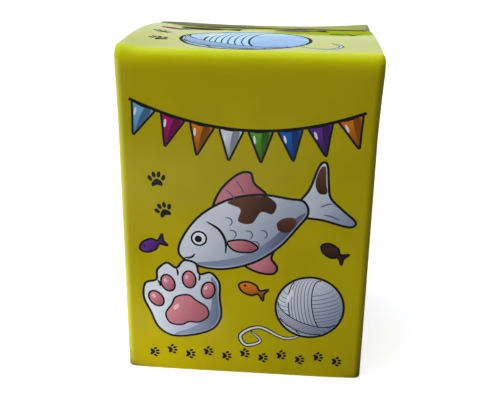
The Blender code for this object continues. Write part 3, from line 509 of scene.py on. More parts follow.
def tuck_place(u, v):
    share = v / TUCK_LENGTH
    return np.stack([u, TUCK_FACE - TUCK_LEAN * share, TOP - sag(u, LID_END) - TUCK_FOLD - v], 1)


def flap_fold_place(side):
    def place(u, v):
        turn = np.radians(v)
        x = side * (HALF_W - SIDE_FOLD * (1 - np.cos(turn)))
        return splayed(x, side * u, SIDE_TOP + SIDE_FOLD * np.sin(turn) - sag(x, side * u))
    return place


def flap_place(side):
    def place(u, v):
        x = side * (HALF_W - v)
        return splayed(x, side * u, FLAP_LEVEL - sag(x, side * u))
    return place


def dense(outline, us, vs):
    """The outline with a point wherever it crosses a line of the lattice."""
    out = []
    for i, start in enumerate(outline):
        end = outline[(i + 1) % len(outline)]
        shares = {0.0}
        for axis, lines in ((0, us), (1, vs)):
            run = end[axis] - start[axis]
            if abs(run) > 1e-6:
                for line in lines:
                    share = (line - start[axis]) / run
                    if 0.02 < share < 0.98 or (1e-4 < share < 1 - 1e-4 and abs(run) > 5):
                        shares.add(round(float(share), 6))
        for share in sorted(shares):
            out.append((start[0] + (end[0] - start[0]) * share, start[1] + (end[1] - start[1]) * share))
    return out


def faded(stops):
    """Ink that changes along v, through (v, rgb) stops."""
    places = [v for v, _ in stops]
    colours = np.array([linear(rgb) for _, rgb in stops])
    return lambda u, v: np.stack([np.interp(v, places, colours[:, k]) for k in range(3)], 1)


def lip_painted_light_and_shadow(points):
    """The back wall's inner edge in painted light, with a painted shadow in the gap behind the lid and painted shade at
    the left.
    """
    pale = toned(linear(LIP_PAINTED_LIGHT), linear(LIP_LEFT_PAINTED_SHADE), share_of((points[:, 0] - BACK_MID + 8) / 16))
    return np.where(points[:, 1:] < GAP_LEVEL, linear(LIP_PAINTED_SHADOW), pale)


def layer_ink(layer, points):
    """A layer's ink at points, faded along its line if it has one."""
    ink = linear(layer["ink"])
    if layer["to"] is None:
        return ink
    start, end = np.array(layer["line"], float).reshape(2, 2)
    share = share_of((points - start) @ (end - start) / ((end - start) @ (end - start)))
    return toned(ink, linear(layer["to"]), share * share * (3 - 2 * share))


def covered(points, polygon):
    """Which points the polygon winds round."""
    x, y = points[:, :1], points[:, 1:]
    p, q = np.array(polygon), np.roll(polygon, -1, 0)
    left = (q[:, 0] - p[:, 0]) * (y - p[:, 1]) - (x - p[:, 0]) * (q[:, 1] - p[:, 1])
    rising = (p[:, 1] <= y) & (q[:, 1] > y) & (left > 0)
    falling = (p[:, 1] > y) & (q[:, 1] <= y) & (left < 0)
    return rising.sum(1) != falling.sum(1)


def triangulated(points, edges, merge):
    flat, _, triangles, _, _, _ = delaunay_2d_cdt([Vector(p) for p in points], edges, [], 0, merge)
    return np.array([tuple(p) for p in flat]), np.array([list(t) for t in triangles])


def facing_up(triangles, flat):
    """The triangles, all running the same way round in the flat."""
    a, b, c = (flat[triangles[:, k]] for k in range(3))
    turn = (b[:, 0] - a[:, 0]) * (c[:, 1] - a[:, 1]) - (b[:, 1] - a[:, 1]) * (c[:, 0] - a[:, 0])
    triangles[turn < 0] = triangles[turn < 0][:, ::-1]
    return triangles


def inside_and_rim(faces, count):
    """What closes a skin: the faces' copies, count points further on, and quads around its open edges."""
    used = dict.fromkeys(pair for face in faces for pair in zip(face, face[1:] + face[:1]))
    rim = [[j, i, i + count, j + count] for i, j in used if (j, i) not in used]
    return [[i + count for i in reversed(face)] for face in faces], rim


def meshed(outline, us, vs, layers, cuts):
    """The outline filled with triangles that keep to the lattice, the layers' edges and the cuts."""
    edge = dense(outline, us, vs)
    points, loops = [], []
    for loop in [edge] + [layer["points"] for layer in layers]:
        start = len(points)
        points += [tuple(p) for p in loop]
        loops += [(start + i, start + (i + 1) % len(loop)) for i in range(len(loop))]
    for line in cuts:
        loops += [(len(points) + i, len(points) + i + 1) for i in range(len(line) - 1)]
        points += line
    grid = np.array([(u, v) for u in us for v in vs])
    margin = np.array(edge)
    near = np.array([np.min(np.abs(margin - p).sum(1)) < 0.05 for p in grid])
    points += [tuple(p) for p in grid[covered(grid, margin) & ~near]]
    flat, triangles = triangulated(points, loops, 1e-4)
    return flat, facing_up(triangles[covered(flat[triangles].mean(1), margin)], flat)


def skin(place, flat, step=0.02):
    """The flat points in space, and the normals there."""
    middle = np.clip(flat, flat.min(0) + step, flat.max(0) - step)
    du = place(middle[:, 0] + step, middle[:, 1]) - place(middle[:, 0] - step, middle[:, 1])
    dv = place(middle[:, 0], middle[:, 1] + step) - place(middle[:, 0], middle[:, 1] - step)
    return place(flat[:, 0], flat[:, 1]), unit(np.cross(du, dv))


def unit(vectors):
    return vectors / np.maximum(np.linalg.norm(vectors, axis=1)[:, None], 1e-12)


def values_at(value, u, v):
    """A value that is the same all over, or a function of the place."""
    return value(u, v) if callable(value) else np.full((len(u), *np.shape(value)), value)


def new_mesh(name, points, faces):
    mesh = bpy.data.meshes.new(name)
    mesh.from_pydata((np.array(points) / 1000).tolist(), [], faces)
    mesh.polygons.foreach_set("use_smooth", [True] * len(faces))
    return mesh


def shown(name, data):
    obj = bpy.data.objects.new(name, data)
    bpy.context.scene.collection.objects.link(obj)
    return obj


def stand_for(obj, body, slot, node):
    """Let a piece ride a body in place of a CAD node."""
    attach(obj, body)
    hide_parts(node)


def span(obj):
    """Bake a fold's placement into its mesh."""
    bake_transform(obj)


def panel(name, outline, us, vs, place, layers=(), wear=0.0, ground=linear(YELLOW), gloss=WALL_SHINE, lip=None,
          cuts=()):
    """A sheet of board: its outside carries the layers as one flush print, its inside and edges are bare.

    wear, ground and gloss, the worn share, the bare ink with any painted light and shade and the varnish's strength,
    are values or functions of (u, v). lip says where the inside is coloured too, with painted light and a painted
    shadow, and cuts are lines that the triangles keep to.
    """
    flat, triangles = meshed(outline, us, vs, layers, cuts)
    middles = flat[triangles].mean(1)
    tops = np.zeros(len(triangles), int)
    for number, layer in enumerate(layers, 1):
        low, high = layer["points"].min(0), layer["points"].max(0)
        near = np.flatnonzero(np.all((middles > low) & (middles < high), axis=1))
        tops[near[covered(middles[near], layer["points"])]] = number
    outer, normal = skin(place, flat)
    faces = triangles.tolist()
    inside, rim = inside_and_rim(faces, len(flat))
    lipped = np.zeros(len(faces), bool) if lip is None else lip(*middles.T)
    mesh = new_mesh(name, np.concatenate([outer, outer - normal * BOARD]), faces + inside + rim)
    mesh.polygons.foreach_set("material_index", [0] * len(faces) + (~lipped).astype(int).tolist() + [1] * len(rim))

    inks = values_at(ground, *flat.T)[triangles]
    shine = values_at(gloss, *flat.T)[triangles]
    shine[tops > 0] = np.minimum(shine[tops > 0], WALL_SHINE)
    for number, layer in enumerate(layers, 1):
        inks[tops == number] = layer_ink(layer, flat[triangles[tops == number]])
    bare = linear(BOARD_EDGE)
    # The lip's inside faces take painted light and a painted shadow.
    within = np.where(lipped[:, None], lip_painted_light_and_shadow(middles), bare)
    inks = np.concatenate([inks.reshape(-1, 3), np.repeat(within, 3, 0), np.tile(bare, (4 * len(rim), 1))])
    shine = np.concatenate([shine.ravel(), np.zeros(len(inks) - shine.size)])
    ink = mesh.color_attributes.new("ink", "FLOAT_COLOR", "CORNER")
    ink.data.foreach_set("color", np.column_stack([inks, shine]).ravel())
    worn = mesh.attributes.new("wear", "FLOAT", "POINT")
    worn.data.foreach_set("value", np.tile(values_at(wear, *flat.T), 2))
    mesh.update()

    ends, starts = np.array(rim)[:, :2].T
    across = unit(np.cross(outer[ends] - outer[starts], normal[starts] + normal[ends]))
    normals = [normal[triangles].reshape(-1, 3), -normal[triangles[:, ::-1]].reshape(-1, 3), np.repeat(across, 4, 0)]
    mesh.normals_split_custom_set(np.concatenate(normals).tolist())
    for material in (PRINT, BARE):
        mesh.materials.append(material)
    return shown(name, mesh)


# Materials

def new_material(name):
    material = bpy.data.materials.new(name)
    material.use_nodes = True
    return material, material.node_tree, material.node_tree.nodes["Principled BSDF"]


def feed(tree, node, inputs):
    """Link each input that is a socket, and set each that is a value."""
    for key, value in inputs.items():
        if isinstance(value, bpy.types.NodeSocket):
            tree.links.new(value, node.inputs[key])
        else:
            node.inputs[key].default_value = value


def add(tree, kind, inputs=None, **settings):
    node = tree.nodes.new(kind)
    for key, value in settings.items():
        setattr(node, key, value)
    feed(tree, node, inputs or {})
    return node


def mixed(tree, factor, first, second):
    return add(tree, "ShaderNodeMix", {0: factor, 6: first, 7: second}, data_type="RGBA").outputs[2]


def noise(tree, scale, detail=3.0, roughness=0.5):
    place = add(tree, "ShaderNodeTexCoord").outputs["Object"]
    inputs = {"Vector": place, "Scale": scale, "Detail": detail, "Roughness": roughness}
    return add(tree, "ShaderNodeTexNoise", inputs).outputs["Fac"]


def ranged(tree, value, low, high, to_low, to_high):
    inputs = {"Value": value, "From Min": low, "From Max": high, "To Min": to_low, "To Max": to_high}
    return add(tree, "ShaderNodeMapRange", inputs).outputs["Result"]


def swing(tree, value, to_low=0.0, to_high=1.0):
    """A noise's usual reach, 0.3 to 0.7, brought to a range."""
    return ranged(tree, value, 0.3, 0.7, to_low, to_high)


def bump(tree, height, strength, distance, normal=None):
    inputs = {"Height": height, "Strength": strength, "Distance": distance}
    if normal is not None:
        inputs["Normal"] = normal
    return add(tree, "ShaderNodeBump", inputs).outputs["Normal"]


def rgba(rgb):
    return (*linear(rgb), 1)


def print_material():
    """Printed board. The ink's alpha is the strength of its varnish."""
    material, tree, shader = new_material("printed_board")
    layer = add(tree, "ShaderNodeAttribute", attribute_name="ink").outputs
    wear = add(tree, "ShaderNodeAttribute", attribute_name="wear").outputs["Fac"]
    cloud = swing(tree, noise(tree, 45, 4), 0.93, 1.05)
    tone = add(tree, "ShaderNodeVectorMath", {0: layer["Color"], "Scale": cloud}, operation="SCALE").outputs["Vector"]
    fleck = noise(tree, 900, 5, 0.7)
    marked = add(tree, "ShaderNodeMath", {0: wear, 1: fleck}, operation="MULTIPLY").outputs["Value"]
    low = bump(tree, noise(tree, 38, 2, 0.4), 0.22, 0.0012)
    feed(tree, shader, {
        "Base Color": mixed(tree, ranged(tree, marked, 0.30, 0.52, 0.0, 0.75), tone, rgba((214, 210, 190))),
        "Roughness": swing(tree, noise(tree, 70, 5, 0.6), 0.336, 0.504),
        "Specular IOR Level": 0.0,
        "Coat Weight": layer["Alpha"], "Coat IOR": 1.5, "Coat Roughness": 0.22,
        "Normal": bump(tree, noise(tree, 1500, 4, 0.6), 0.10, 0.0001, low),
    })
    return material


def board_material(name, printed_below=False):
    """Bare grey board with fibres. With printed_below, faces that look down are printed."""
    material, tree, shader = new_material(name)
    fibre = noise(tree, 700, 6, 0.7)
    tone = swing(tree, fibre)
    colour = mixed(tree, tone, rgba(np.array(BOARD_GREY) * 0.86), rgba(BOARD_GREY))
    speck = ranged(tree, noise(tree, 2600, 3, 0.6), 0.66, 0.74, 0.0, 0.35)
    colour = mixed(tree, speck, colour, rgba((120, 108, 92)))
    if printed_below:
        split = add(tree, "ShaderNodeSeparateXYZ", {0: add(tree, "ShaderNodeNewGeometry").outputs["Normal"]})
        below = add(tree, "ShaderNodeMath", {0: split.outputs["Z"], 1: -0.15}, operation="LESS_THAN").outputs["Value"]
        colour = mixed(tree, below, colour, mixed(tree, tone, rgba(np.array(YELLOW) * 0.95), rgba(YELLOW)))
    feed(tree, shader, {"Base Color": colour, "Roughness": 0.82, "Specular IOR Level": 0.25,
                        "Normal": bump(tree, fibre, 0.25, 0.0001)})
    return material


def plastic_material(name, rgb, rough=0.2, grain=0.02, coat=0.0, under=0.0):
    """Moulded plastic: a slight flow tone, a little unevenness in its polish."""
    material, tree, shader = new_material(name)
    feed(tree, shader, {
        "Base Color": mixed(tree, swing(tree, noise(tree, 60)), rgba(np.array(rgb) * 0.965), rgba(rgb)),
        "Roughness": swing(tree, noise(tree, 220, 4), rough * 0.8, rough * 1.25),
        "Coat Weight": coat, "Coat Roughness": 0.08,
        "Subsurface Weight": under, "Subsurface Radius": (0.004, 0.003, 0.002), "Subsurface Scale": 1.0,
        "Normal": bump(tree, noise(tree, 900), grain, 0.0002),
    })
    return material


def metal_material(name, rgb, rough, scale):
    material, tree, shader = new_material(name)
    marks = noise(tree, scale, 5, 0.7)
    feed(tree, shader, {
        "Base Color": mixed(tree, swing(tree, marks), rgba(np.array(rgb) * 0.8), rgba(rgb)),
        "Roughness": swing(tree, marks, rough * 0.7, rough * 1.3), "Metallic": 1.0,
        "Normal": bump(tree, marks, 0.15, 0.0002),
    })
    return material


PRINT = print_material()
BARE = board_material("bare_board")
BOTTOM = board_material("bottom_board", printed_below=True)
SHELL = plastic_material("white_plastic", (232, 232, 234), 0.18, 0.02, 0.3, 0.06)
SKIN_PINK = plastic_material("pink_plastic", (222, 132, 146), 0.42, 0.12, 0.0, 0.05)
JET = plastic_material("black_plastic", (16, 15, 17), 0.10, 0.01, 0.6)
GREY = plastic_material("grey_plastic", (128, 130, 134), 0.34, 0.08)
RUBBER = plastic_material("seal_rubber", (44, 44, 47), 0.6, 0.2)
NYLON = plastic_material("whisker_nylon", (34, 33, 36), 0.3, 0.02)
BALLAST = metal_material("ballast_steel", (120, 122, 126), 0.42, 500)
SCREW = metal_material("screw_steel", (176, 178, 182), 0.26, 900)


# The carton

def corner_distance(u):
    return np.min([np.abs(u - middle) for middle in CORNER_MIDS], 0)


def build_sleeve():
    s = STOPS
    us = [np.linspace(s[2 * k], s[2 * k + 1], 20)[1:-1] for k in range(4)]
    us += [np.linspace(s[2 * k + 1], s[2 * k + 2], FOLD_STEPS + 1) for k in range(4)]
    us = sorted(set(round(float(u), 5) for u in np.concatenate(us)))
    vs = list(np.linspace(4, 116, 29)) + [0.8, 1.8, 117.2, 118.5, 119.6]

    def slit(start, inset, way):
        """The slit between a corner and a side's fold, from the corner on."""
        inner, outer = start + way * (inset - SLIT), start + way * inset
        return [(inner, CORNER_TOP), (inner, SIDE_TOP - 0.6), (outer, SIDE_TOP - 0.6), (outer, SIDE_TOP)]

    top = [(s[0], CORNER_TOP)] + slit(s[0], BACK_INSET, 1) + slit(s[1], FRONT_INSET, -1)[::-1]
    top += [(s[1], CORNER_TOP), (s[1], FRONT_TOP), (s[4], FRONT_TOP), (s[4], CORNER_TOP)]
    top += slit(s[4], FRONT_INSET, 1) + slit(s[5], BACK_INSET, -1)[::-1] + [(s[5] + 0.6, CORNER_TOP)]
    top += [(s[6] + FRONT_RUN * share, TOP + np.interp(share, *BACK_EDGE)) for share in np.linspace(0, 1, 25)]
    top += [(s[8] - 0.6, CORNER_TOP), (s[8], CORNER_TOP)]
    foot = [(u, FOOT_LIFT * float(bell(corner_distance(u), 9.0))) for u in us]
    foot = [(s[0], foot[-1][1])] + [p for p in foot if s[0] < p[0] < s[8]] + [(s[8], foot[-1][1])]

    def wear(u, v):
        near = np.minimum(corner_distance(u), np.abs(u))
        edge = 0.42 * bell(near, 1.6) * np.clip(v / 6, 0.2, 1)
        low = 0.25 * bell(v, 1.2)
        high = 0.9 * bell(TOP + 1 - v, 1.4)
        tips = 0.25 * bell(near, 4) * bell(TOP - v, 4)
        return share_of(edge + low + high + tips)

    # The back wall's inside above LIP_LEVEL gets painted light and a painted shadow.
    def lip(u, v):
        return (v > LIP_LEVEL) & (u > s[6]) & (u < s[7])

    cuts = [[(float(u), level) for u in np.linspace(s[6], s[7], 20)] for level in (GAP_LEVEL, LIP_LEVEL)]
    # Every wall brightens over its top four millimetres into the fold's painted highlight.
    upright = faded([(0, YELLOW), (116.6, YELLOW), (118.6, (195, 179, 5)), (120.5, FOLD_HIGHLIGHT)])

    def ground(u, v):
        corner = corner_distance(u)
        # A painted highlight down the front's left corner.
        left_corner_highlight = bell(u - s[1] - 0.45 * TURN_RUN, 1.5)
        # A painted shade down the front's right corner.
        right_corner_shade = bell(u - s[4] + 0.35 * TURN_RUN, 1.8)
        # Browner at the corners near the foot, and a little way up their edges.
        marked = share_of(bell(corner, 6) * bell(v, 1.6) + 0.6 * bell(corner, 1.8) * bell(v, 9))
        tone = toned(upright(u, v), linear(CORNER_HIGHLIGHT), left_corner_highlight * 0.85) * (1 - 0.3 * right_corner_shade)[:, None]
        return toned(tone, linear(FOOT_BROWN), marked * 0.75)

    walls = panel("carton_walls", foot + top[::-1], us, vs, sleeve_place, sleeve_art(), wear, ground, lip=lip,
                  cuts=cuts)
    stand_for(walls, "carton", "printed_board", "carton_sleeve")


def lattice(low, high, step):
    count = max(int(round((high - low) / step)), 1)
    return list(np.linspace(low, high, count + 1))


def lid_columns(corner_count):
    """Columns across the carton, close together over its rounded corners."""
    corner = [HALF_W - CORNER + CORNER * math.sin(math.radians(11.25 * k)) for k in range(corner_count)]
    return [-x for x in corner[::-1]] + lattice(-40, 40, 4) + corner


def box(low_u, high_u, low_v, high_v, *rest):
    return [(u, v, *rest) for u, v in ((low_u, low_v), (high_u, low_v), (high_u, high_v), (low_u, high_v))]


def build_front_fold():
    def wear(u, v):
        return share_of(0.30 * bell(v - 45, 30) + 0.25 * bell(HALF_W - np.abs(u), 2.2))

    # The fold's yellows are painted light: a highlight along its turn and a sheen at its top, where it meets the lid.
    fold = panel("lid_fold", box(-HALF_W, HALF_W, 0, 90), lid_columns(9), lattice(0, 90, 9), front_fold_place,
                 wear=wear, ground=faded([(0, FOLD_HIGHLIGHT), (50, FOLD_MID_HIGHLIGHT), (90, FOLD_SHEEN)]))
    span(fold)


def build_lid():
    def wear(u, v):
        return share_of(0.5 * bell(LID_HALF - np.abs(u), 1.2) + 0.85 * bell(LID_END - v, 2.2))

    def shining(u, v):
        return np.maximum(share_of((12.0 - v) / 9.0), share_of((10 - u) / 8))

    def ground(u, v):
        # Painted light on the lid: the yellow is darker towards the back right, a painted shade where the sunk lid
        # reflects less, and its front five millimetres fade from a painted sheen.
        tone = linear(LID_SKY_LIT_YELLOW) * (0.86 + 0.14 * shining(u, v))[:, None]
        return toned(linear(FOLD_SHEEN), tone, share_of((v - LID_START) / 5.0))

    def gloss(u, v):
        """The varnish shines pale all over the lid, but for its back right, where it has sunk."""
        front = share_of((v - LID_START + 1) / 5.0)
        return np.maximum(LID_SHINE * front * shining(u, v), 0.02)

    rows = sorted(lattice(LID_START, LID_END, 4) + [LID_START + 1.3, LID_START + 2.6, -6.0, -3.4])
    top = panel("lid_top", box(-LID_HALF, LID_HALF, LID_START, LID_END), lid_columns(5), rows, lid_place, lid_art(),
                wear, ground, gloss)
    stand_for(top, "lid_panel", "printed_board", "lid")


def build_tuck():
    half, radius = HALF_W - 1.6, 8.0
    us = lattice(-half, half, 6)
    fold = panel("tuck_fold", box(-half, half, 0, 90), us, lattice(0, 90, 9), tuck_fold_place, wear=0.9)
    span(fold)
    turns = np.radians(np.linspace(0, 90, 9))
    outline = [(-half, 0.0), (half, 0.0)]
    outline += [(half - radius + radius * math.cos(t), TUCK_LENGTH - radius + radius * math.sin(t)) for t in turns]
    outline += [(-half + radius - radius * math.sin(t), TUCK_LENGTH - radius + radius * math.cos(t)) for t in turns]
    tuck = panel("tuck_board", outline, us, lattice(0, TUCK_LENGTH, 3), tuck_place)
    stand_for(tuck, "tuck", "printed_board", "tuck_flap")


def build_dust_flaps():
    start, end, shoulder = -HALF_D + FLAP_FRONT, HALF_D - FLAP_BACK, -HALF_D + 43.0
    for side, word in ((-1, "left"), (1, "right")):
        low, high = (start, end) if side > 0 else (-end, -start)
        us = lattice(low, high, 5)
        fold = panel(f"dust_fold_{word}", box(low, high, 0, 90), us, lattice(0, 90, 11.25), flap_fold_place(side),
                     wear=0.5)
        span(fold)
        line = [(start, SIDE_FOLD), (end, SIDE_FOLD), (end, SIDE_FOLD + 4), (end - 4, FLAP_REACH),
                (shoulder, FLAP_REACH), (start, start + HALF_D - 1)]
        line = [(side * y, v) for y, v in line][::side]
        flap = panel(f"dust_flap_board_{word}", line, us, lattice(SIDE_FOLD, FLAP_REACH, 5), flap_place(side))
        stand_for(flap, f"{word}_flap", "bare_board", f"dust_flap_{word}")


build_sleeve()
build_front_fold()
build_lid()
build_tuck()
build_dust_flaps()

# The toy

BALL = np.array((0.0, 1.5, 40.0))
BALL_RADIUS = 38.5
HEAD = BALL + BALL_RADIUS * np.array((0.0, -0.3506, 0.6883))
HEAD_RADIUS = 24.5
NECK_FILLET = 7.0
WALL = 2.0
GAP = 0.3
SEAM_LEVEL = 19.0
NECK_RADIUS = 27.47
NECK_TOP = 26.0
NECK_INSIDE = 25.67
FLOOR_LEVEL = 1.8
BOSS_CIRCLE = 21.77
BOSS_RADIUS = 2.7
BOSS_TOP = 15.52
HOLE_HALF_WIDTH = 13.0
HOLE_HALF_HEIGHT = 7.0
HOLE_RISE = 0.5
EAR_RADIUS = 13.5


def shell_distance(points):
    """Distance to ball and head with a soft neck between them."""
    ball = np.linalg.norm(points - BALL, axis=-1) - BALL_RADIUS
    head = np.linalg.norm(points - HEAD, axis=-1) - HEAD_RADIUS
    share = share_of(0.5 + 0.5 * (head - ball) / NECK_FILLET)
    return head + (ball - head) * share - NECK_FILLET * share * (1 - share)


def shell_normal(points):
    steps = np.eye(3) * 0.01
    slope = np.stack([shell_distance(points + e) - shell_distance(points - e) for e in steps], -1)
    return slope / np.linalg.norm(slope, axis=-1)[..., None]


def shell_surface(directions):
    """Where rays from the ball's centre leave the shell."""
    low, high = np.full(len(directions), 30.0), np.full(len(directions), 62.0)
    for _ in range(24):
        middle = (low + high) / 2
        inside = shell_distance(BALL + directions * middle[:, None]) < 0
        low, high = np.where(inside, middle, low), np.where(inside, high, middle)
    return BALL + directions * low[:, None]


def solid(name, points, faces, body, material, slot, node, sharp=38):
    """A closed body of plastic that stands for a CAD node."""
    mesh = new_mesh(name, points, faces)
    work = bmesh.new()
    work.from_mesh(mesh)
    bmesh.ops.remove_doubles(work, verts=work.verts, dist=1e-6)
    bmesh.ops.recalc_face_normals(work, faces=work.faces)
    work.to_mesh(mesh)
    work.free()
    mesh.set_sharp_from_angle(angle=math.radians(sharp))
    mesh.materials.append(material)
    stand_for(shown(name, mesh), body, slot, node)


def lathe(profile, segments, start=0, closed=False):
    """Points and faces of a profile of (radius, height) turned about Z; start is the first point's index."""
    points, rings, faces = [], [], []
    for radius, height in profile:
        count = segments if radius > 0 else 1
        turns = 2 * np.pi * np.arange(count) / count
        rings.append([start + len(points) + k for k in range(count)])
        points += [(radius * math.cos(t), radius * math.sin(t), height) for t in turns]
    pairs = list(zip(rings, rings[1:])) + ([(rings[-1], rings[0])] if closed else [])
    for first, second in pairs:
        for k in range(segments):
            after = (k + 1) % segments
            corners = [first[k % len(first)], first[after % len(first)],
                       second[after % len(second)], second[k % len(second)]]
            faces.append([c for i, c in enumerate(corners) if c not in corners[:i]])
    return np.array(points), faces


def bend(centre, radius, first, last, steps):
    """Points (radius, height) of an arc in degrees."""
    return [(centre[0] + radius * math.cos(math.radians(t)), centre[1] + radius * math.sin(math.radians(t)))
            for t in np.linspace(first, last, steps + 1)]


def hole_outline(turn):
    """A treat hole's edge on the ball, as azimuth and tilt from the top in degrees."""
    t = np.linspace(0, 2 * np.pi, 56, endpoint=False)
    across, up = HOLE_HALF_WIDTH * np.cos(t), HOLE_HALF_HEIGHT * np.sin(t) + HOLE_RISE
    deep = np.sqrt(BALL_RADIUS ** 2 - across ** 2 - up ** 2)
    return np.stack([turn + np.degrees(np.arctan2(across, deep)), np.degrees(np.arccos(up / BALL_RADIUS))], 1)


def shell_skin():
    """The upper shell's outside with its four treat holes: points and triangles."""
    columns = np.linspace(45, 405, 145)
    rows = np.linspace(0, math.degrees(math.acos((SEAM_LEVEL - BALL[2]) / BALL_RADIUS)), 65)[1:]
    grid = np.array([(u, w) for w in rows for u in columns])
    index = np.arange(len(grid)).reshape(len(rows), len(columns))
    borders = [index[0], index[-1], index[:, 0], index[:, -1]]
    spare = np.zeros(len(grid), bool)
    holes = [hole_outline(turn) for turn in (90, 180, 270, 360)]
    for hole in holes:
        near = np.linalg.norm(grid[:, None] - hole, axis=2).min(1) < 0.9
        spare |= near | covered(grid, hole)
    place = np.cumsum(~spare) - 1
    points = [tuple(p) for p in grid[~spare]]
    edges = [(int(place[a]), int(place[b])) for border in borders for a, b in zip(border, border[1:])]
    for hole in holes:
        edges += [(len(points) + k, len(points) + (k + 1) % len(hole)) for k in range(len(hole))]
        points += [tuple(p) for p in hole]
    flat, triangles = triangulated(points, edges, 1e-5)
    middles = flat[triangles].mean(1)
    triangles = facing_up(triangles[~np.any([covered(middles, hole) for hole in holes], axis=0)], flat)
    azimuth, tilt = np.radians(flat).T
    outer = shell_surface(np.stack([np.sin(tilt) * np.cos(azimuth), np.sin(tilt) * np.sin(azimuth), np.cos(tilt)], 1))
    _, first, merged = np.unique(np.round(outer, 3), axis=0, return_index=True, return_inverse=True)
    merged = merged.ravel()
    ring = np.flatnonzero(np.abs(flat[:, 1] - rows[0]) < 1e-4)
    ring = merged[ring[np.argsort(flat[ring, 0])]].tolist()
    top = len(first)
    faces = merged[triangles].tolist() + [[top, b, a] for a, b in zip(ring, ring[1:])]
    return np.concatenate([outer[first], shell_surface(np.array([(0.0, 0.0, 1.0)]))]), faces


def build_upper_shell():
    outer, faces = shell_skin()
    inner = outer - shell_normal(outer) * WALL
    at_seam = np.abs(outer[:, 2] - SEAM_LEVEL) < 0.01
    flat = outer[at_seam] - BALL
    flat[:, :2] *= math.sqrt((BALL_RADIUS - WALL) ** 2 - flat[0, 2] ** 2) / np.linalg.norm(flat[:, :2], axis=1)[:, None]
    inner[at_seam] = BALL + flat
    inside, rim = inside_and_rim(faces, len(outer))
    wide = math.sqrt(BALL_RADIUS ** 2 - (BALL[2] - SEAM_LEVEL) ** 2) - WALL / 2
    bore = NECK_RADIUS + GAP
    collar = [(bore, SEAM_LEVEL), (wide, SEAM_LEVEL), (wide, SEAM_LEVEL + 2.2), (bore + 2.6, SEAM_LEVEL + 2.2),
              (bore + 1.8, SEAM_LEVEL + 3.0), (bore + 1.8, NECK_TOP), (bore, NECK_TOP)]
    ring, more = lathe(collar, 96, 2 * len(outer), closed=True)
    points = np.concatenate([outer, inner, ring + (0, BALL[1], 0)])
    solid("shell_upper", points, faces + inside + rim + more, "toy_upper", SHELL, "white_plastic", "upper_shell")


def sphere_rows(radius, first, last, steps):
    turns = np.linspace(math.asin(first / radius), math.asin(last / radius), steps + 1)
    return [(radius * math.sin(t), BALL[2] - radius * math.cos(t)) for t in turns]


def build_base_bowl():
    rim_level = SEAM_LEVEL - GAP
    rim = math.sqrt(BALL_RADIUS ** 2 - (BALL[2] - rim_level) ** 2)
    groove = NECK_RADIUS + 2.2 + 2 * GAP
    profile = [(0, FLOOR_LEVEL)] + sphere_rows(BALL_RADIUS, 4.8, rim - 0.12, 30)
    profile += [(rim - 0.4, rim_level), (groove, rim_level), (groove, rim_level - 0.9), (NECK_RADIUS, rim_level - 0.9)]
    low = NECK_RADIUS - 0.25
    for level in (19.4, 21.4, 23.4):
        profile += [(low, level), (NECK_RADIUS, level + 0.5), (NECK_RADIUS, level + 0.9), (low, level + 1.4)]
    profile += [(low, NECK_TOP - 0.3), (NECK_RADIUS - 0.5, NECK_TOP), (NECK_INSIDE, NECK_TOP)]
    profile += sphere_rows(BALL_RADIUS - WALL, 0, NECK_INSIDE, 24)[::-1]
    points, faces = lathe(profile, 128)
    boss_profile = [(0, 0.0), (BOSS_RADIUS, 0.0), (BOSS_RADIUS, BOSS_TOP - 0.3), (BOSS_RADIUS - 0.3, BOSS_TOP),
                    (1.5, BOSS_TOP), (1.5, BOSS_TOP - 1.5), (0, BOSS_TOP - 1.5)]
    for number in range(3):
        turn = math.pi / 2 + 2 * math.pi * number / 3
        boss, more = lathe(boss_profile, 32, len(points))
        boss[:, :2] += (BOSS_CIRCLE * math.cos(turn), BOSS_CIRCLE * math.sin(turn))
        foot = boss[:, 2] == 0
        boss[foot, 2] = BALL[2] - np.sqrt((BALL_RADIUS - WALL / 2) ** 2 - (boss[foot, :2] ** 2).sum(1))
        points = np.concatenate([points, boss])
        faces += more
    solid("bowl_lower", points + (0, BALL[1], 0), faces, "toy_base", SHELL, "white_plastic", "base_bowl")


def on_head(points, centre, turn):
    """The points turned and moved into place, with those inside the head brought out to its face."""
    offset = points @ np.array(turn).T + centre - HEAD
    far = np.linalg.norm(offset, axis=1)[:, None]
    return HEAD + np.where(far < HEAD_RADIUS + GAP, offset / far * (HEAD_RADIUS + GAP), offset)


def build_ears():
    cup = [(0, -2.9), (5, -2.85), (8.5, -2.7)] + bend((EAR_RADIUS - 2.5, 0), 2.5, -90, 122, 14)
    cup += [(9.5, 1.2), (9.2, 0.6), (8.6, 0.3), (0, 0.3)]
    pad = [(0, 0.55), (8.6, 0.55), (9.0, 0.85), (8.9, 1.2), (8.2, 1.5), (6.6, 1.72), (4, 1.85), (0, 1.9)]
    for side, word in ((-1, "left"), (1, "right")):
        centre = HEAD + HEAD_RADIUS * np.array((side * 0.9388, 0.1633, 1.0))
        turn = Matrix.Rotation(math.radians(12 * side), 3, "Z") @ Matrix.Rotation(math.radians(76), 3, "X")
        for profile, *finish, name, node, sharp in ((cup, SHELL, "white_plastic", "cup", "ear", 38),
                                                    (pad, SKIN_PINK, "pink_plastic", "pad", "ear_pad", 50)):
            points, faces = lathe(profile, 72)
            points = on_head(points, centre, turn)
            solid(f"{name}_{word}", points, faces, "toy_upper", *finish, f"{node}_{word}", sharp)


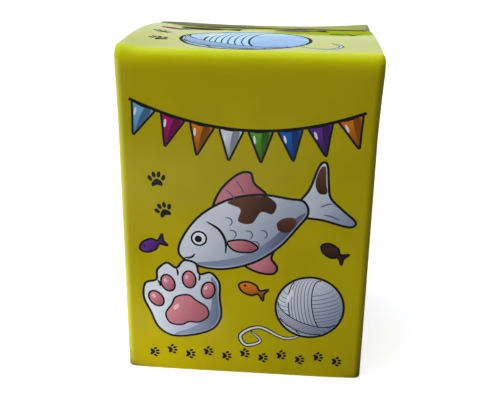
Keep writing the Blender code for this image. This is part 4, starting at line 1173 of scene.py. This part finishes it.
def build_feature(name, profile, stretch, azimuth, elevation, depth, material, slot, node):
    """A turned piece on the head's face, in a direction given in degrees."""
    azimuth, elevation = math.radians(azimuth), math.radians(elevation)
    across = math.cos(elevation)
    direction = Vector((across * math.sin(azimuth), -across * math.cos(azimuth), math.sin(elevation)))
    centre = HEAD + np.array(direction) * (HEAD_RADIUS - depth)
    points, faces = lathe(profile, 48)
    points = on_head(points * stretch, centre, direction.to_track_quat("Z", "Y").to_matrix())
    solid(name, points, faces, "toy_upper", material, slot, node, 60)


def build_face():
    button = [(0, -1.0), (0.98, -1.0), (1.0, 0.25), (0.99, 0.42), (0.94, 0.62), (0.86, 0.86), (0.74, 1.13),
              (0.58, 1.4), (0.4, 1.6), (0.2, 1.72), (0, 1.76)]
    for side, word in ((-1, "left"), (1, "right")):
        build_feature(f"button_{word}", button, (2.3, 3.7, 1.0), 30 * side, 41, 0, JET, "black_plastic", f"eye_{word}")
    snout = [(0, -4.9)] + bend((0, 0), 5.0, -80, 80, 22) + [(0, 4.9)]
    build_feature("snout", snout, (1.04, 0.95, 1.0), 0, 12, 1.1, SKIN_PINK, "pink_plastic", "nose")


build_upper_shell()
build_base_bowl()
build_ears()
build_face()

# The CAD nodes that stay as they are get their finishes

STAYS = {
    BARE: ("glue_seam_flap", "bottom_glue_flap"),
    BOTTOM: ("bottom_panel", "bottom_flap_left", "bottom_flap_right"),
    RUBBER: ("seal_ring",), BALLAST: ("ballast_weight",), GREY: ("ballast_cover",),
    SCREW: [f"cover_screw_{number}" for number in (1, 2, 3)],
    NYLON: [f"whisker_{side}_{number}" for side in ("left", "right") for number in (1, 2, 3)],
}
for material, names in STAYS.items():
    for name in names:
        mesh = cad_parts[name].data
        mesh.materials.clear()
        mesh.materials.append(material)

# Floor, light and camera

FLOOR_GLOW = 0.72
YAW, PITCH, ROLL = (math.radians(angle) for angle in (-4.499, 21.816, 0.788))
FOCAL_LENGTH = 731.7
PICTURE_WIDTH, PICTURE_HEIGHT = 500, 400
CENTRE_X, CENTRE_Y = 246.0, 224.6
VIEWPOINT = (0.01961, -0.28620, 0.16047)
SENSOR = 36


def seen_directly(tree):
    """1 for rays from the camera or through a mirror or glass, 0 for the light on the object."""
    path = add(tree, "ShaderNodeLightPath").outputs
    seen = add(tree, "ShaderNodeMath", {0: path["Is Camera Ray"], 1: path["Is Glossy Ray"]}, operation="ADD")
    seen = add(tree, "ShaderNodeMath", {0: seen.outputs[0], 1: path["Is Transmission Ray"]}, operation="ADD",
               use_clamp=True)
    return seen.outputs[0]


def build_floor():
    mesh = bpy.data.meshes.new("floor")
    mesh.from_pydata(box(-6, 6, -6, 6, 0), [], [(0, 1, 2, 3)])
    material, tree, _ = new_material("pale_floor")
    tree.nodes.clear()
    seen = seen_directly(tree)
    colour = mixed(tree, seen, (0.26, 0.26, 0.25, 1), (0.46, 0.45, 0.44, 1))
    shader = add(tree, "ShaderNodeBsdfDiffuse", {"Color": colour})
    glow = add(tree, "ShaderNodeMath", {0: seen, 1: FLOOR_GLOW}, operation="MULTIPLY")
    white = add(tree, "ShaderNodeEmission", {"Strength": glow.outputs["Value"]})
    both = add(tree, "ShaderNodeAddShader", {0: shader.outputs["BSDF"], 1: white.outputs["Emission"]})
    out = add(tree, "ShaderNodeOutputMaterial")
    tree.links.new(both.outputs["Shader"], out.inputs["Surface"])
    mesh.materials.append(material)
    shown("floor", mesh)


def build_world():
    world = bpy.data.worlds.new("studio")
    bpy.context.scene.world = world
    world.use_nodes = True
    tree = world.node_tree
    tree.nodes.clear()
    seen = seen_directly(tree)
    colour = mixed(tree, seen, (0.10, 0.105, 0.115, 1), (1, 1, 1, 1))
    back = add(tree, "ShaderNodeBackground", {"Color": colour, "Strength": 1.0})
    out = add(tree, "ShaderNodeOutputWorld")
    tree.links.new(back.outputs["Background"], out.inputs["Surface"])


def lamp(name, kind, energy, direction, colour=(1, 1, 1)):
    """A lamp that shines against a direction, from the origin."""
    data = bpy.data.lights.new(name, kind)
    data.energy = energy
    data.color = colour
    obj = shown(name, data)
    obj.rotation_euler = Vector(direction).to_track_quat("Z", "Y").to_euler()
    return obj


def window(name, energy, spread, direction, colour=(1, 1, 1)):
    obj = lamp(name, "SUN", energy, direction, colour)
    obj.data.angle = math.radians(spread)
    return obj


def soft_box(name, energy, width, height, place, aim):
    obj = lamp(name, "AREA", energy, Vector(place) - Vector(aim))
    obj.data.shape = "RECTANGLE"
    obj.data.size, obj.data.size_y = width, height
    obj.location = place
    obj.visible_camera = False


def build_lights():
    window("sky_light", 3.0, 70, (-0.30, -0.04, 1), (0.91, 1.0, 1.03))
    window("left_window", 0.60, 30, (-1, -0.22, 0.2), (0.95, 1.0, 1.06))
    window("back_window", 1.2, 40, (0.45, 1, 0.1)).visible_glossy = False
    soft_box("front_fill", 0.16, 0.30, 0.05, (-0.11, -0.20, 0.012), (0, 0, 0.03))
    soft_box("table_glow", 0.0048, 0.05, 0.01, (-0.034, -0.072, 0.004), (-0.034, -0.042, 0.014))


def build_camera():
    """The photograph's view, from the carton's corners in it; its centre and focal length are in pixels."""
    forward = Vector((math.sin(YAW) * math.cos(PITCH), math.cos(YAW) * math.cos(PITCH), -math.sin(PITCH)))
    right = Vector((math.cos(YAW), -math.sin(YAW), 0))
    up = right.cross(forward)
    right, up = math.cos(ROLL) * right + math.sin(ROLL) * up, -math.sin(ROLL) * right + math.cos(ROLL) * up
    data = bpy.data.cameras.new("camera")
    data.sensor_width = SENSOR
    data.sensor_fit = "HORIZONTAL"
    data.lens = FOCAL_LENGTH / PICTURE_WIDTH * SENSOR
    data.shift_x = (PICTURE_WIDTH / 2 - CENTRE_X) / PICTURE_WIDTH
    data.shift_y = (CENTRE_Y - PICTURE_HEIGHT / 2) / PICTURE_WIDTH
    data.clip_start = 0.01
    camera = shown("camera", data)
    axes = Matrix((right, up, -forward)).transposed().to_4x4()
    camera.matrix_world = Matrix.Translation(VIEWPOINT) @ axes
    bpy.context.scene.camera = camera


build_floor()
build_world()
build_lights()
build_camera()
bpy.context.scene.view_settings.view_transform = "Standard"
